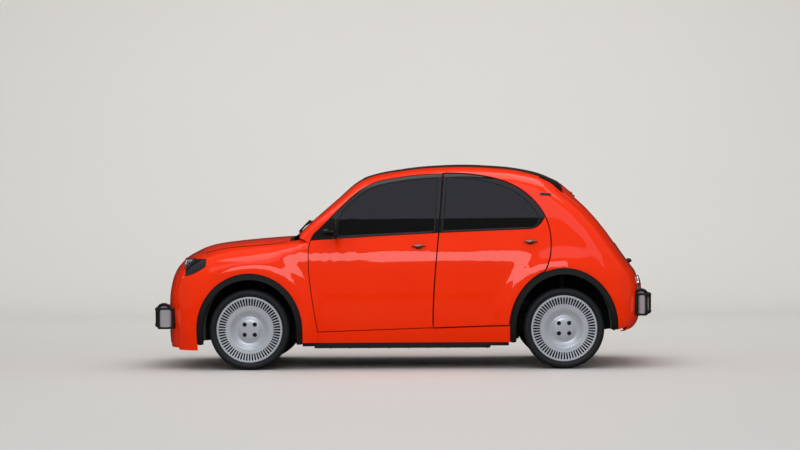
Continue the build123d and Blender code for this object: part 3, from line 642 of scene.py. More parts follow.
class Skin:
    """Outer surface of some CAD nodes, on which trim is seated."""

    def __init__(self, *nodes: str) -> None:
        """Gather the nodes' faces for ray casts."""
        self.nodes = nodes
        verts, faces = [], []
        for name in nodes:
            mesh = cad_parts[name].data
            first = len(verts)
            verts += [v.co.copy() for v in mesh.vertices]
            faces += [[first + i for i in p.vertices] for p in mesh.polygons]
        self.tree = BVHTree.FromPolygons(verts, faces)

    def hit(self, start: Triple, way: Vector) -> Spot:
        """First place met by a ray.

        Args:
            start: where the ray starts, outside the car.
            way: the direction it goes.

        Returns:
            The place and the outward direction there.
        """
        at, out, _, _ = self.tree.ray_cast(Vector(start), way)
        if at is None:
            raise ValueError(f"no surface of {self.nodes} along {way} from {start}")
        return at, out if out.dot(way) < 0 else -out

    def left(self, x: float, z: float) -> Spot:
        """Place on the car's left side."""
        return self.hit((x, -BESIDE, z), RIGHT)

    def top(self, x: float, y: float) -> Spot:
        """Place on the upper side."""
        return self.hit((x, y, BEYOND), -UP)

    def front(self, y: float, z: float) -> Spot:
        """Place on the nose."""
        return self.hit((-BEYOND, y, z), REARWARD)

    def rear(self, y: float, z: float) -> Spot:
        """Place on the tail."""
        return self.hit((BEYOND, y, z), FORWARD)


def middle(node: str) -> Vector:
    """Middle of a CAD node's box."""
    low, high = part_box(node)
    return (low + high) / 2


FRONT_AXLE = middle("front_wheel_left").x


def carved(bm: BMesh, cutter: BMesh) -> BMesh:
    """Cut one closed mesh out of another; both are freed.

    Args:
        bm: the mesh that is cut.
        cutter: the space that is taken away.

    Returns:
        The cut mesh.
    """
    holders = []
    for part in (bm, cutter):
        mesh = bpy.data.meshes.new("cut")
        part.to_mesh(mesh)
        part.free()
        holder = bpy.data.objects.new("cut", mesh)
        bpy.context.scene.collection.objects.link(holder)
        holders.append(holder)
    cut = holders[0].modifiers.new("cut", "BOOLEAN")
    cut.operation = "DIFFERENCE"
    cut.solver = "EXACT"
    cut.object = holders[1]
    ready = holders[0].evaluated_get(bpy.context.evaluated_depsgraph_get())
    result = bmesh.new()
    result.from_mesh(ready.to_mesh())
    discard(holders)
    return result


def discard(holders: list[bpy.types.Object]) -> None:
    """Remove helper objects and their meshes."""
    for holder in holders:
        mesh = holder.data
        bpy.data.objects.remove(holder)
        bpy.data.meshes.remove(mesh)


def lining(node: str, looks: Vector, low: float, high: float, least: float = 0.75, thick: float = 0.004) -> BMesh:
    """Sheet laid on the faces of a CAD node that look one way.

    Args:
        node: the CAD node that it lines.
        looks: the way that the lined faces look.
        low: lowest height that is lined.
        high: greatest height that is lined.
        least: smallest cosine between a lined face and that way.
        thick: thickness of the sheet.

    Returns:
        The sheet's mesh.
    """
    bm = copied(node)
    for height, keep in ((low, -1), (high, 1)):
        bmesh.ops.bisect_plane(bm, geom=bm.verts[:] + bm.edges[:] + bm.faces[:], plane_co=(0, 0, height),
                               plane_no=(0, 0, keep), clear_outer=True)
    bm.normal_update()
    other = [f for f in bm.faces if f.normal.dot(looks) < least]
    bmesh.ops.delete(bm, geom=other, context="FACES")
    bmesh.ops.translate(bm, vec=looks * thick, verts=bm.verts)
    bmesh.ops.solidify(bm, geom=bm.faces[:], thickness=thick * 0.9)
    return bm


# ------------------------------------------------------------------ wheels
@dataclass
class Wheel:
    """Road wheel with its slotted silver cover, bolts, tyre and brake; profiles are in mm, +Y outboard."""

    end: str
    hand: str
    steps: int = 136
    slots: int = 64
    slot_inner: float = 0.184
    slot_outer: float = 0.237
    slot_width: float = 0.0122
    slot_flare: float = 0.28
    bolt_offset: float = 0.039
    bolt_hole: float = 0.0165
    tread_base: float = 0.3015
    tread_top: float = 0.3088
    block_long: float = 0.0245
    shoulder_drop: float = 0.003

    def __post_init__(self) -> None:
        """Look up the wheel's CAD nodes and its placement."""
        self.node = f"{self.end}_wheel_{self.hand}"
        self.tyre_node = f"{self.end}_tyre_{self.hand}"
        self.spot = Matrix.Translation(middle(self.tyre_node)) @ Matrix.Scale(HANDS[self.hand], 4, RIGHT)

    def add(self, name: str, bm: BMesh, finish: Finish, slot: str, body: str = "", **more) -> None:
        """Place a mesh, drawn about the origin, as a piece on this wheel or on another body."""
        add_piece(f"{name}_{self.end}_{self.hand}", moved(bm, self.spot), finish, slot, body or self.node, **more)

    def bolt_spots(self) -> list[Vector]:
        """Where the four bolts stand, on the wheel's own plane."""
        angles = [FULL_TURN * (k + 0.5) / 4 for k in range(4)]
        return [Vector((math.cos(a), 0, math.sin(a))) * self.bolt_offset * math.sqrt(2) for a in angles]

    def cover(self) -> BMesh:
        """Silver cover: domed hub, dish, plain ring and a ring of narrow radial slots."""
        face = [(0, 63), (30, 62.8), (56, 61.6), (72, 59.4), (81, 56.4), (86, 52.6), (89, 48.8), (93, 46.4),
                (100, 45.4), (108, 46), (118, 49), (128, 54.5), (136, 60.5), (141.5, 65.5), (144.5, 69), (146.5, 71.2),
                (149.5, 72.4), (156, 72.9), (184, 74.6), (212, 78.4), (238, 82.2), (243, 83), (250, 82.4), (252, 80)]
        back = [(252, 74), (243, 72), (238, 70), (212, 66), (184, 62), (148, 60), (130, 44), (116, 36), (92, 36),
                (62, 35), (0, 35)]
        cutters = []
        length = self.slot_outer - self.slot_inner
        for k in range(self.slots):
            slot = block((length, 0.06, self.slot_width), 0.0022, 2)
            for vert in slot.verts:
                vert.co.z *= 1 + self.slot_flare * vert.co.x / length
            bmesh.ops.translate(slot, vec=((self.slot_inner + self.slot_outer) / 2, 0.078, 0), verts=slot.verts)
            cutters.append(moved(slot, Matrix.Rotation(FULL_TURN * k / self.slots, 4, "Y")))
        for at in self.bolt_spots():
            hole = rod((0, 0.02, 0), (0, 0.1, 0), self.bolt_hole, 28)
            cutters.append(moved(hole, Matrix.Translation(at)))
        return carved(turned(face + back, self.steps), joined(cutters))

    def barrel(self) -> BMesh:
        """Steel rim behind the cover, from bead to bead, in near-black that is partly the black steel and partly
        painted shade seen through the slots.
        """
        return turned([(30, 30), (60, 31), (150, 34), (185, 46), (216, 52), (222, 60), (229, 66), (243, 71), (250, 71),
                       (250, 66), (236, 62), (229, 50), (226, -30), (229, -60), (236, -68), (243, -74), (243, -82),
                       (226, -84), (217, -76), (217, 40), (184, 34), (150, 22), (60, 18), (30, 18), (30, 30)],
                      self.steps)

    def bolts(self) -> BMesh:
        """Four hexagon bolts with washers, deep in the cover's holes."""
        parts = []
        for at in self.bolt_spots():
            parts.append(rod(at + RIGHT * 0.030, at + RIGHT * 0.046, 0.0095, 6))
            parts.append(rod(at + RIGHT * 0.028, at + RIGHT * 0.034, 0.0135, 24))
        return joined(parts)

    def tyre(self) -> BMesh:
        """Tyre: rounded sidewalls, a rim guard, and five ribs of tread blocks."""
        side = [(231, 66), (240, 69.5), (250, 73), (253.5, 75.5), (255, 79.5), (258, 81.5), (262, 84.5),
                (268, 87.4), (274.5, 89.4), (281, 90), (288, 88.8), (294, 86), (299, 82), (303, 77), (304.5, 71)]
        tread = [(self.tread_base / MM, 68), (self.tread_base / MM, -68)]
        inner = [(231, -66), (231, 66)]
        parts = [turned(side + tread + [(r, -w) for r, w in reversed(side)][:-1] + inner, self.steps)]
        ribs = [(-57, 24, 0.0), (-28.5, 22, 0.28), (0, 24, -0.28), (28.5, 22, 0.28), (57, 24, 0.0)]
        outermost = ribs[-1][0]
        height = self.tread_top - self.tread_base + 0.002
        for row, (across, width, skew) in enumerate(ribs):
            for k in range(self.slots):
                lump = block((self.block_long, width * MM, height), 0.0009, 1)
                for vert in lump.verts:
                    if abs(across) == outermost and vert.co.y * across > 0:
                        vert.co.z -= self.shoulder_drop
                lump = moved(lump, Matrix.Rotation(skew, 4, "Z"))
                bmesh.ops.translate(lump, vec=(0, across * MM, self.tread_top - height / 2), verts=lump.verts)
                angle = FULL_TURN / self.slots * (k + 0.5 * (row % 2))
                parts.append(moved(lump, Matrix.Rotation(angle, 4, "Y")))
        return joined(parts)

    def rings(self) -> BMesh:
        """Raised rings and short ribs of the tyre's sidewall."""
        parts = [turned([(r, w - 0.6), (r + 0.5, w + 0.7), (r + 1.3, w - 0.4)], self.steps)
                 for r, w in ((262, 84.6), (289.5, 88.2))]
        for k in range(self.slots * 2):
            rib = block((0.010, 0.0016, 0.0022), 0.0005, 1, (0.2965, 0.0840, 0))
            parts.append(moved(rib, Matrix.Rotation(FULL_TURN * k / self.slots / 2, 4, "Y")))
        return joined(parts)

    def disc(self) -> BMesh:
        """Brake disc with its hat, behind the rim."""
        return turned([(34, 29), (58, 29), (60, 26), (62, 4), (66, 2), (97, 2), (98, 0), (98, -7), (92, -8),
                       (92, -11), (98, -12), (98, -17), (97, -18), (68, -18), (66, -14), (56, -8), (54, 22), (34, 22),
                       (34, 29)], 96)

    def caliper(self) -> BMesh:
        """Brake caliper over the disc's rear edge."""
        body = block((0.052, 0.070, 0.11), 0.012)
        for vert in body.verts:
            vert.co.x -= 1.6 * vert.co.z ** 2
        whole = carved(body, block((0.05, 0.028, 0.2), 0.002, 1, (-0.022, 0.004, 0)))
        bmesh.ops.translate(whole, vec=(0.098, -0.012, 0), verts=whole.verts)
        pins = [rod((0.092, -0.055, z), (0.092, -0.03, z), 0.009) for z in (-0.036, 0.036)]
        return joined([whole] + pins)

    def build(self, cover: BMesh, tyre: BMesh) -> None:
        """Add this wheel's pieces.

        Args:
            cover: the cover's mesh, which all wheels share.
            tyre: the tyre's mesh, which all wheels share.
        """
        dress(WHEEL_SILVER, self.node)
        dress(TYRE_RUBBER, self.tyre_node)
        self.add("wheel_cover", cover.copy(), WHEEL_SILVER, "wheel_silver", sharp=28, replaces=(self.node,))
        # the rim's near-black is painted shade that shows through the cover's slots
        self.add("rim_barrel", self.barrel(), SLOT_SHADE_BLACK, "wheel_silver")
        self.add("wheel_bolts", self.bolts(), COATED_STEEL, "wheel_silver")
        self.add("tyre", tyre.copy(), TYRE_RUBBER, "tyre_rubber", sharp=40, replaces=(self.tyre_node,))
        self.add("tyre_rings", self.rings(), TYRE_RUBBER, "tyre_rubber")
        self.add("brake_disc", self.disc(), CAST_IRON, "chassis_steel")
        holder = f"knuckle_{self.hand}" if self.end == "front" else "root"
        self.add("brake_caliper", self.caliper(), COATED_STEEL, "chassis_steel", holder)


# ------------------------------------------------------------------ body
@dataclass
class BodyPanels:
    """Fixed body panels, their glass, seals and small trim."""

    seal_width: float = 0.011
    seal_height: float = 0.0035
    vent_at: tuple[float, float] = (2.279, 1.3365)
    vent_size: tuple[float, float] = (0.090, 0.024)
    vent_fins: int = 9
    strip_wide: float = 0.060
    strip_foot: float = 1.000
    strip_tall: float = 0.460
    strip_x: float = 1.447
    strip_lean: float = 0.087
    strip_from: float = 1.049
    wiper_x: float = 0.425
    wiper_pivot_x: float = 0.372
    wiper_lift: float = 0.014

    def panels(self) -> None:
        """Dress the CAD panels."""
        dress(PAINT, "body_sides", "front_wings", "end_panels", "bonnet", "tailgate")
        for finish, node in ((BLACK_LACQUER, "roof_panel"), (SCREEN_GLASS, "windscreen"),
                             (TINTED_GLASS, "tailgate_glass"), (GRAINED_PLASTIC, "cladding"), (FELT, "wheel_liners"),
                             (SMOKED_LENS, "headlamps"), (RED_LENS, "tail_lamps"), (GRAINED_PLASTIC, "bulkhead"),
                             (CARPET, "floor_pan")):
            dress(finish, node)
        dress(COATED_STEEL, "front_rails", "front_suspension", "rear_suspension", "knuckle_left", "knuckle_right")
        dress(CAST_ALUMINIUM, "battery_pack", "drive_motor")

    def screen_seals(self) -> None:
        """Rubber round the windscreen and the rear window."""
        section = round_section(self.seal_width, self.seal_height)
        path = rims("windscreen", UP, 0.3, 0.02)[0]
        add_piece("windscreen_seal", bead(path, section, True), SEAL_RUBBER, "roof_black")
        path = rims("tailgate_glass", (REARWARD + UP * 0.4).normalized(), 0.4, 0.02)[0]
        add_piece("rear_window_seal", bead(path, section, True), SEAL_RUBBER, "roof_black", "tailgate")

    def band_lips(self) -> None:
        """Rolled lips on the outlines of the arch bands."""
        outlines = [path for path in rims("cladding", LEFT, 0.6, 0.02) if len(path) > 30]
        tall = [path for path in outlines if max(at.z for at, _ in path) - min(at.z for at, _ in path) > 0.25]
        lips = joined([bead(path, round_section(0.007, 0.0035), True) for path in tall])
        add_piece("arch_band_lips", both_sides(lips), BLACK_ABS, "black_cladding")

    def pillar_vents(self) -> None:
        """Small dark slots in the rear pillars."""
        at, out = Skin("body_sides").left(FRONT_AXLE + self.vent_at[0], self.vent_at[1])
        spot = seated(at, out, REARWARD)
        long, high = self.vent_size
        ring = carved(block((long, high, 0.006), 0.0028), block((long - 0.010, high - 0.008, 0.02), 0.001, 1))
        pitch = (long - 0.016) / self.vent_fins
        parts = [block((long - 0.006, high - 0.005, 0.002), 0.0004, 1)]
        parts += [block((0.0016, high - 0.006, 0.004), 0.0004, 1, ((k - self.vent_fins // 2) * pitch, 0, 0.0004))
                  for k in range(self.vent_fins)]
        add_piece("pillar_vents", both_sides(moved(joined(parts), spot)), BLACK_ABS, "roof_black")
        add_piece("pillar_vent_rings", both_sides(moved(ring, spot)), BRIGHT_HANDLE, "bumper_silver")

    def pillar_strips(self) -> None:
        """Black strips on the middle pillars, seen in the shut lines between the doors' window frames."""
        skin = Skin("body_sides")
        levels = [self.strip_foot + self.strip_tall * k / 24 for k in range(25)]
        path = [skin.left(FRONT_AXLE + self.strip_x + self.strip_lean * (z - self.strip_from), z) for z in levels]
        add_piece("pillar_strips", both_sides(bead(path, flat_section(self.strip_wide, -0.0005, 0.0012))),
                  BLACK_ABS, "roof_black")

    def wipers(self) -> None:
        """Wiper arms and blades resting on the foot of the windscreen."""
        glass = Skin("windscreen", "bulkhead")
        parts = []
        for y0, y1 in ((-0.43, 0.06), (0.08, 0.50)):
            spots = [glass.top(FRONT_AXLE + self.wiper_x + 0.05 * (0.5 - abs(y - 0.03)), y)
                     for y in (y0, (y0 + y1) / 2, y1)]
            blade = [(at + out * self.wiper_lift, out) for at, out in spots]
            foot, out = glass.top(FRONT_AXLE + self.wiper_pivot_x, y0 + 0.05)
            head = foot + out * 0.022
            parts += [bead(blade, flat_section(0.007, -0.009, 0.006)), rod(foot - out * 0.004, head, 0.014),
                      bead([(head, out), (blade[1][0] + out * 0.012, out)], flat_section(0.016, -0.004, 0.004))]
        add_piece("wipers", joined(parts), BLACK_ABS, "black_cladding")

    def bonnet_shade_seal(self) -> None:
        """Black rubber strips in the shut lines between the bonnet and the wings: partly real seals, partly painted
        shade that makes the gaps read as dark lines.
        """
        ring = rims("bonnet", UP, 0.3, 0.012)[0]
        back, front = max(at.x for at, _ in ring), min(at.x for at, _ in ring)
        left = [spot for spot in ring if spot[0].y < 0 and front + 0.20 < spot[0].x < back - 0.010]
        left.sort(key=lambda spot: spot[0].x)
        shifted = [(at + (LEFT - out * LEFT.dot(out)).normalized() * 0.003, out) for at, out in left]
        # the strips are black so that the shut lines read dark: painted shade
        add_piece("bonnet_shade_seals", both_sides(bead(shifted, flat_section(0.0042, -0.012, 0.0035))), SEAL_RUBBER,
                  "roof_black")

    def build(self) -> None:
        """Add the body's pieces."""
        self.bonnet_shade_seal()
        self.panels()
        self.screen_seals()
        self.band_lips()
        self.pillar_vents()
        self.pillar_strips()
        self.wipers()


# ------------------------------------------------------------------ doors
@dataclass
class Door:
    """One side door: two-tone skin, glass with its seal, handle and inner lining; drawn for the left side."""

    end: str
    hand: str
    handle_long: float = 0.115
    handle_high: float = 0.038
    seal_depth: float = 0.017
    strip_lift: float = 0.008
    strip_short: float = 0.050
    card_foot: float = 0.36
    card_top: float = 0.99

    def __post_init__(self) -> None:
        """Look up the door's CAD nodes and the left door's skin."""
        self.name = f"{self.end}_door_{self.hand}"
        self.glass = f"{self.end}_window_{self.hand}"
        self.skin = Skin(f"{self.end}_door_left")

    def handle_place(self) -> Matrix:
        """Placement of the handle on the left door."""
        x, z = (1.2965, 0.939) if self.end == "front" else (2.154, 0.969)
        return seated(*self.skin.left(FRONT_AXLE + x, z), REARWARD)

    def handle(self) -> BMesh:
        """Pointed bright grip on a raised lens."""
        blade = ball((0, 0, 0.014), (self.handle_long / 2, 0.0115, 0.009), 20)
        for vert in blade.verts:
            reach = abs(vert.co.x) / (self.handle_long / 2)
            vert.co.y *= 1.15 - 0.55 * reach
            vert.co.z -= 0.009 * reach ** 3
        lens = ball((0, 0, 0.004), (0.026, self.handle_high / 2, 0.009), 14)
        return moved(joined([blade, lens]), self.handle_place())

    def cup(self) -> BMesh:
        """Dark finger cup round the handle."""
        ring = turned([(24.5, 0), (24.5, 2.2), (22.5, 3), (20.5, 1.8), (20.5, 0)], 48)
        ring = moved(ring, Matrix.Rotation(math.pi / 2, 4, "X"))
        bmesh.ops.scale(ring, vec=(1.25, 0.86, 1), verts=ring.verts)
        return moved(ring, self.handle_place())

    def belt_strip(self, count: int = 24) -> BMesh:
        """Rubber strip along the foot of the window."""
        low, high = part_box(f"{self.end}_window_left")
        path = []
        for k in range(count + 1):
            x = low.x - 0.006 + (high.x - low.x - self.strip_short) * k / count
            d = x - FRONT_AXLE - BELT_START[0]
            path.append(self.skin.left(x, BELT_START[1] + BELT_SLOPE * d + BELT_BOW * d * d + self.strip_lift))
        return bead(path, flat_section(0.011, -0.002, 0.004))

    def build(self) -> None:
        """Add the door's pieces."""
        dress(DOOR_PAINT, self.name)
        dress(DOOR_GLASS, self.glass)
        looks = RIGHT * HANDS[self.hand]
        pane = bead(rims(self.glass, looks, 0.4)[0], round_section(0.012, 0.0045), True)
        edge = [(at - out * self.seal_depth, out) for at, out in rims(self.name, looks, 0.4)[0]]
        pieces = (("window_seal", pane, SEAL_RUBBER, "roof_black"),
                  ("door_seal", bead(edge, round_section(0.007, 0.004), True), SEAL_RUBBER, "roof_black"),
                  ("belt_strip", to_side(self.belt_strip(), self.hand), BLACK_ABS, "roof_black"),
                  ("handle", to_side(self.handle(), self.hand), BRIGHT_HANDLE, "bumper_silver"),
                  ("handle_cup", to_side(self.cup(), self.hand), BLACK_ABS, "roof_black"),
                  ("door_card", lining(self.name, -looks, self.card_foot, self.card_top), SOFT_SKIN, "dash_plastic"))
        for name, bm, finish, slot in pieces:
            add_piece(f"{name}_{self.end}_{self.hand}", bm, finish, slot, self.name)


@dataclass
class Mirror:
    """Door mirror: round foot, short arm, slim upright head and its glass; drawn for the left side."""

    hand: str
    deep: float = 0.036
    wide: float = 0.165

    def build(self) -> None:
        """Add the mirror's pieces, which stand for the CAD mirror."""
        low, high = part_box("mirror_left")
        foot_x, foot_y, foot_z = low.x + 0.03, high.y, low.z + 0.05
        head_x = high.x - self.deep / 2
        tall = high.z - low.z
        head = block((self.deep, self.wide, tall), 0.0165, 5)
        for vert in head.verts:
            vert.co.y *= 1 - 0.10 * (vert.co.z / tall + 0.5)
            vert.co.x += 0.5 * (vert.co.y / self.wide) ** 2 * 0.03
        centre = Vector((head_x, low.y + self.wide / 2, low.z + tall / 2))
        bmesh.ops.translate(head, vec=centre, verts=head.verts)
        disc = rod((foot_x, foot_y + 0.002, foot_z), (foot_x, foot_y - 0.022, foot_z), 0.030, 40)
        arm = rod((foot_x, foot_y - 0.016, foot_z), (head_x - 0.004, foot_y - 0.055, foot_z), 0.013)
        face = block((0.0025, 0.140, tall - 0.030), 0.001, 1, centre + Vector((0.0195, 0.004, 0)))
        housing = to_side(joined([head, disc, arm]), self.hand)
        node, body = f"mirror_{self.hand}", f"front_door_{self.hand}"
        dress(BLACK_ABS, node)
        add_piece(f"mirror_housing_{self.hand}", housing, BLACK_ABS, "mirror_black", body, replaces=(node,))
        add_piece(f"mirror_face_{self.hand}", to_side(face, self.hand), CHROME, "mirror_black", body)


# ------------------------------------------------------------------ front and rear
@dataclass
class Bumper:
    """Bowed silver bar in black rubber, with a hoop at each end."""

    front: bool
    bow: float = 0.084
    half: float = 0.640
    rubber: float = 0.018
    strip: float = 0.024
    plate: tuple[float, float, float, float] = (0.520, 0.104, 0.003, 0.0165)
    holder: tuple[float, float, float, float] = (0.532, 0.116, 0.012, 0.006)

    def __post_init__(self) -> None:
        """Set the bar's edges and depth, and which way along X leads back to the car."""
        self.low, self.high, self.deep = (0.325, 0.461, 0.098) if self.front else (0.411, 0.556, 0.060)
        self.way = 1 if self.front else -1

    def face(self, y: float) -> Vector:
        """Point on the bar's face at y, at ground height."""
        low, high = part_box("bumpers")
        radius = (self.half ** 2 + self.bow ** 2) / (2 * self.bow)
        sweep = radius - math.sqrt(radius ** 2 - y ** 2)
        return Vector((low.x + sweep if self.front else high.x - sweep, y, 0))

    def outward(self, y: float) -> Vector:
        """Outward direction of the bar's face at y."""
        step = self.face(y + 0.01) - self.face(y - 0.01)
        out = Vector((step.y, -step.x, 0)).normalized()
        return -out if (out.x > 0) == self.front else out

    def strips(self) -> BMesh:
        """Black strips along the upper and lower edges of the face."""
        across = [-self.half + 2 * self.half * k / 40 for k in range(41)]
        section = flat_section(self.strip, -0.004, 0.018)
        return joined([bead([(self.face(y) + UP * z, self.outward(y)) for y in across], section)
                       for z in (self.low + self.strip / 3, self.high - self.strip / 3)])

    def end_frame(self, s: int) -> BMesh:
        """Rubber frame round one end block, with a hoop standing on it."""
        near = self.face(self.half).x - self.way * 0.008
        far = near + self.way * (self.deep + 0.016)
        y = s * (self.half - 0.012)
        side = Vector((0, s, 0))
        foot, top = self.low - 0.006, self.high + 0.004
        corners = [(near, foot), (near, top), (far, top), (far, foot)]
        ring = [(Vector((x, y, z)), side) for x, z in closed_run(corners, 12)]
        hoop = []
        for a in (math.pi * k / 12 for k in range(13)):
            x = near + self.way * (0.040 - 0.044 * math.cos(a))
            hoop.append((Vector((x, y - s * 0.012, top + 0.036 * math.sin(a))), side))
        return joined([bead(ring, flat_section(self.rubber, -0.05, 0.014), True),
                       bead(hoop, round_section(0.024, 0.016, 10))])

    def sheet(self, wide: float, tall: float, thick: float, lift: float) -> BMesh:
        """Upright sheet bent round the middle of the bar.

        Args:
            wide: its width.
            tall: its height.
            thick: its thickness.
            lift: how far its middle stands out of the bar's face.

        Returns:
            The sheet's mesh.
        """
        out = self.outward(0.0)
        bm = block((wide, tall, thick), min(thick * 0.45, 0.004), 2)
        long = [e for e in bm.edges if abs(e.verts[0].co.x - e.verts[1].co.x) > wide / 2]
        bmesh.ops.subdivide_edges(bm, edges=long, cuts=9)
        for vert in bm.verts:
            vert.co.z -= (self.face(vert.co.x).x - self.face(0).x) * self.way
        return moved(bm, seated(self.face(0) + UP * (self.low + self.high) / 2 + out * lift, out, RIGHT))

    def build(self) -> None:
        """Add the bumper's pieces."""
        end = "front" if self.front else "rear"
        frames = joined([self.strips(), self.end_frame(-1), self.end_frame(1)])
        add_piece(f"bumper_rubber_{end}", frames, GRAINED_PLASTIC, "black_cladding")
        add_piece(f"blank_plate_{end}", self.sheet(*self.plate), PLATE_WHITE, "bumper_silver")
        add_piece(f"plate_holder_{end}", self.sheet(*self.holder), BLACK_ABS, "black_cladding")


@dataclass
class Headlamp:
    """Round smoked pod with a bright front ring, lens and light guides, and a side window on the wing."""

    hand: str
    side_from: float = -0.500
    side_to: float = -0.335
    side_top: float = 0.846
    side_foot: float = 0.722
    bars: tuple[float, ...] = (-0.016, 0.0, 0.016)

    def build(self) -> None:
        """Add the lamp's pieces; the left one stands for the CAD pods."""
        low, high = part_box("headlamps")
        radius = (high.z - low.z) / 2
        centre = (low.x, HANDS[self.hand] * (high.y - radius), (high.z + low.z) / 2)
        spot = Matrix.Translation(centre) @ Matrix.Rotation(math.pi / 2, 4, "Z")
        r, back = radius / MM, (low.x - high.x) / MM + 2
        outlines = (
            ("pod", SMOKED_LENS, "lamp_glass",
             [(r - 9, -4), (r - 3, -3), (r, -9), (r, -60), (r - 1, -110), (r - 3, back), (0, back)]),
            ("ring", CHROME, "bumper_silver",
             [(r - 11, -8), (r - 10, 0), (r - 7, 2.5), (r - 2, 1.5), (r + 0.3, -4), (r + 0.3, -14), (r - 4, -14)]),
            ("bowl", BLACK_ABS, "lamp_glass",
             [(0, -34), (20, -33), (24, -26), (40, -22), (44, -15), (r - 8, -10), (r - 8, -36), (0, -40)]),
            ("guides", LAMP_WHITE, "lamp_glass", [(46, -12), (48, -7), (55, -6), (58, -12), (46, -12)]),
            ("lens", CLEAR_LENS, "lamp_glass",
             [(0, 4), (24, 3.6), (44, 1.8), (r - 9, -2), (r - 9, -5), (44, -1.2), (24, 0.6), (0, 1.0)]))
        for name, finish, slot, outline in outlines:
            bm = turned(outline)
            if name == "guides":
                bm = joined([bm] + [block((0.034, 0.006, 0.010), 0.002, 2, (0, -0.024, h)) for h in self.bars])
            swap = ("headlamps",) if name == "pod" and self.hand == "left" else ()
            add_piece(f"lamp_{name}_{self.hand}", moved(bm, spot), finish, slot, replaces=swap)
        add_piece(f"lamp_side_{self.hand}", to_side(self.side_window(), self.hand), SMOKED_LENS, "lamp_glass")

    def side_window(self, long: int = 14, tall: int = 8) -> BMesh:
        """Smoked window of the lamp, laid on the left wing and narrowing to the rear."""
        skin = Skin("front_wings", "end_panels", "headlamps")
        bm = bmesh.new()
        grid = []
        for t in (k / long for k in range(long + 1)):
            x = FRONT_AXLE + self.side_from + (self.side_to - self.side_from) * t
            top = self.side_top + 0.006 * t
            foot = self.side_foot + (self.side_top - self.side_foot) * 0.58 * t ** 1.6
            spots = [skin.left(x, foot + (top - foot) * j / tall) for j in range(tall + 1)]
            grid.append([bm.verts.new(at + out * 0.0024) for at, out in spots])
        for a, b in zip(grid, grid[1:]):
            for j in range(tall):
                bm.faces.new((a[j], b[j], b[j + 1], a[j + 1]))
        bmesh.ops.recalc_face_normals(bm, faces=bm.faces)
        if sum(f.normal.y for f in bm.faces) > 0:
            bmesh.ops.reverse_faces(bm, faces=bm.faces)
        bmesh.ops.solidify(bm, geom=bm.faces[:], thickness=0.0034)
        return bm


@dataclass
class Nose:
    """Lower intake of the front panel."""

    half: float = 0.36
    low: float = 0.196
    high: float = 0.286
    slats: int = 5

    def across(self, skin: Skin, z: float) -> list[Spot]:
        """Path over the panel from the intake's left end to its right end."""
        return [skin.front(self.half * t / 15, z) for t in range(-15, 16)]

    def build(self) -> None:
        """Add the intake's border and slats, and a dark sheet behind them that is painted shade for the depth of the
        opening; all follow the panel.
        """
        skin = Skin("end_panels")
        corners = [(-self.half, self.low), (-self.half, self.high), (self.half, self.high), (self.half, self.low)]
        parts = [bead([skin.front(y, z) for y, z in closed_run(corners, 20)], round_section(0.012, 0.004), True)]
        for k in range(self.slats):
            z = self.low + (self.high - self.low) * (k + 0.5) / self.slats
            parts.append(bead(self.across(skin, z), flat_section(0.010, -0.001, 0.0045)))
        # a flat near-black sheet over the intake: painted shade standing in for the depth of the opening
        dark = bead(self.across(skin, (self.low + self.high) / 2), flat_section(self.high - self.low, -0.001, 0.0022))
        add_piece("intake_slats", joined(parts), GRAINED_PLASTIC, "black_cladding")
        add_piece("intake_shade_sheet", dark, FELT, "black_cladding")


@dataclass
class Tail:
    """Tail lamps, tailgate handle and high brake lamp."""

    lamp_y: float = 0.400
    lamp_z: float = 0.640
    lamp_r: float = 0.062
    handle_z: float = 0.806
    grip: Triple = (0.150, 0.030, 0.034)
    hollow: Triple = (0.120, 0.016, 0.030)

    def lamp(self, hand: str) -> None:
        """Red lens with inner rings and a bright bezel on the tailgate."""
        at, out = Skin("tail_lamps").rear(HANDS[hand] * self.lamp_y, self.lamp_z)
        spot = seated(at, out, RIGHT) @ Matrix.Rotation(math.pi / 2, 4, "X")
        r = self.lamp_r / MM
        bezel = turned([(r - 2, -6), (r - 1, 2.5), (r + 1.5, 3), (r + 4, 0), (r + 4, -8)])
        lens = turned([(0, 11), (12, 10.5), (22, 9.2), (24, 6.4), (27, 8.4), (44, 7), (47, 4), (50, 6), (r - 1, 2),
                       (r - 1, -8), (0, -8)])
        add_piece(f"tail_bezel_{hand}", moved(bezel, spot), CHROME, "bumper_silver", "tailgate")
        add_piece(f"tail_lens_{hand}", moved(lens, spot), RED_LENS, "lamp_red", "tailgate",
                  replaces=("tail_lamps",) if hand == "left" else ())

    def handle(self) -> None:
        """Black grip in the middle of the tailgate."""
        at, out = Skin("tailgate").rear(0.0, self.handle_z)
        grip = carved(block(self.grip, 0.008, 3, (0, 0, 0.012)), block(self.hollow, 0.004, 2, (0, -0.012, 0.012)))
        add_piece("tailgate_grip", moved(grip, seated(at, out, RIGHT)), BLACK_ABS, "roof_black", "tailgate")

    def brake_lamp(self) -> None:
        """High brake lamp across the top of the rear window."""
        skin, z = Skin("tailgate"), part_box("tailgate_glass")[1].z + 0.030
        path = [skin.rear(0.015 * k, z) for k in range(-10, 11)]
        add_piece("high_brake_lamp", bead(path, flat_section(0.014, -0.002, 0.005)), RED_LENS, "lamp_red", "tailgate")

    def build(self) -> None:
        """Add the tail's pieces."""
        for hand in HANDS:
            self.lamp(hand)
        self.handle()
        self.brake_lamp()


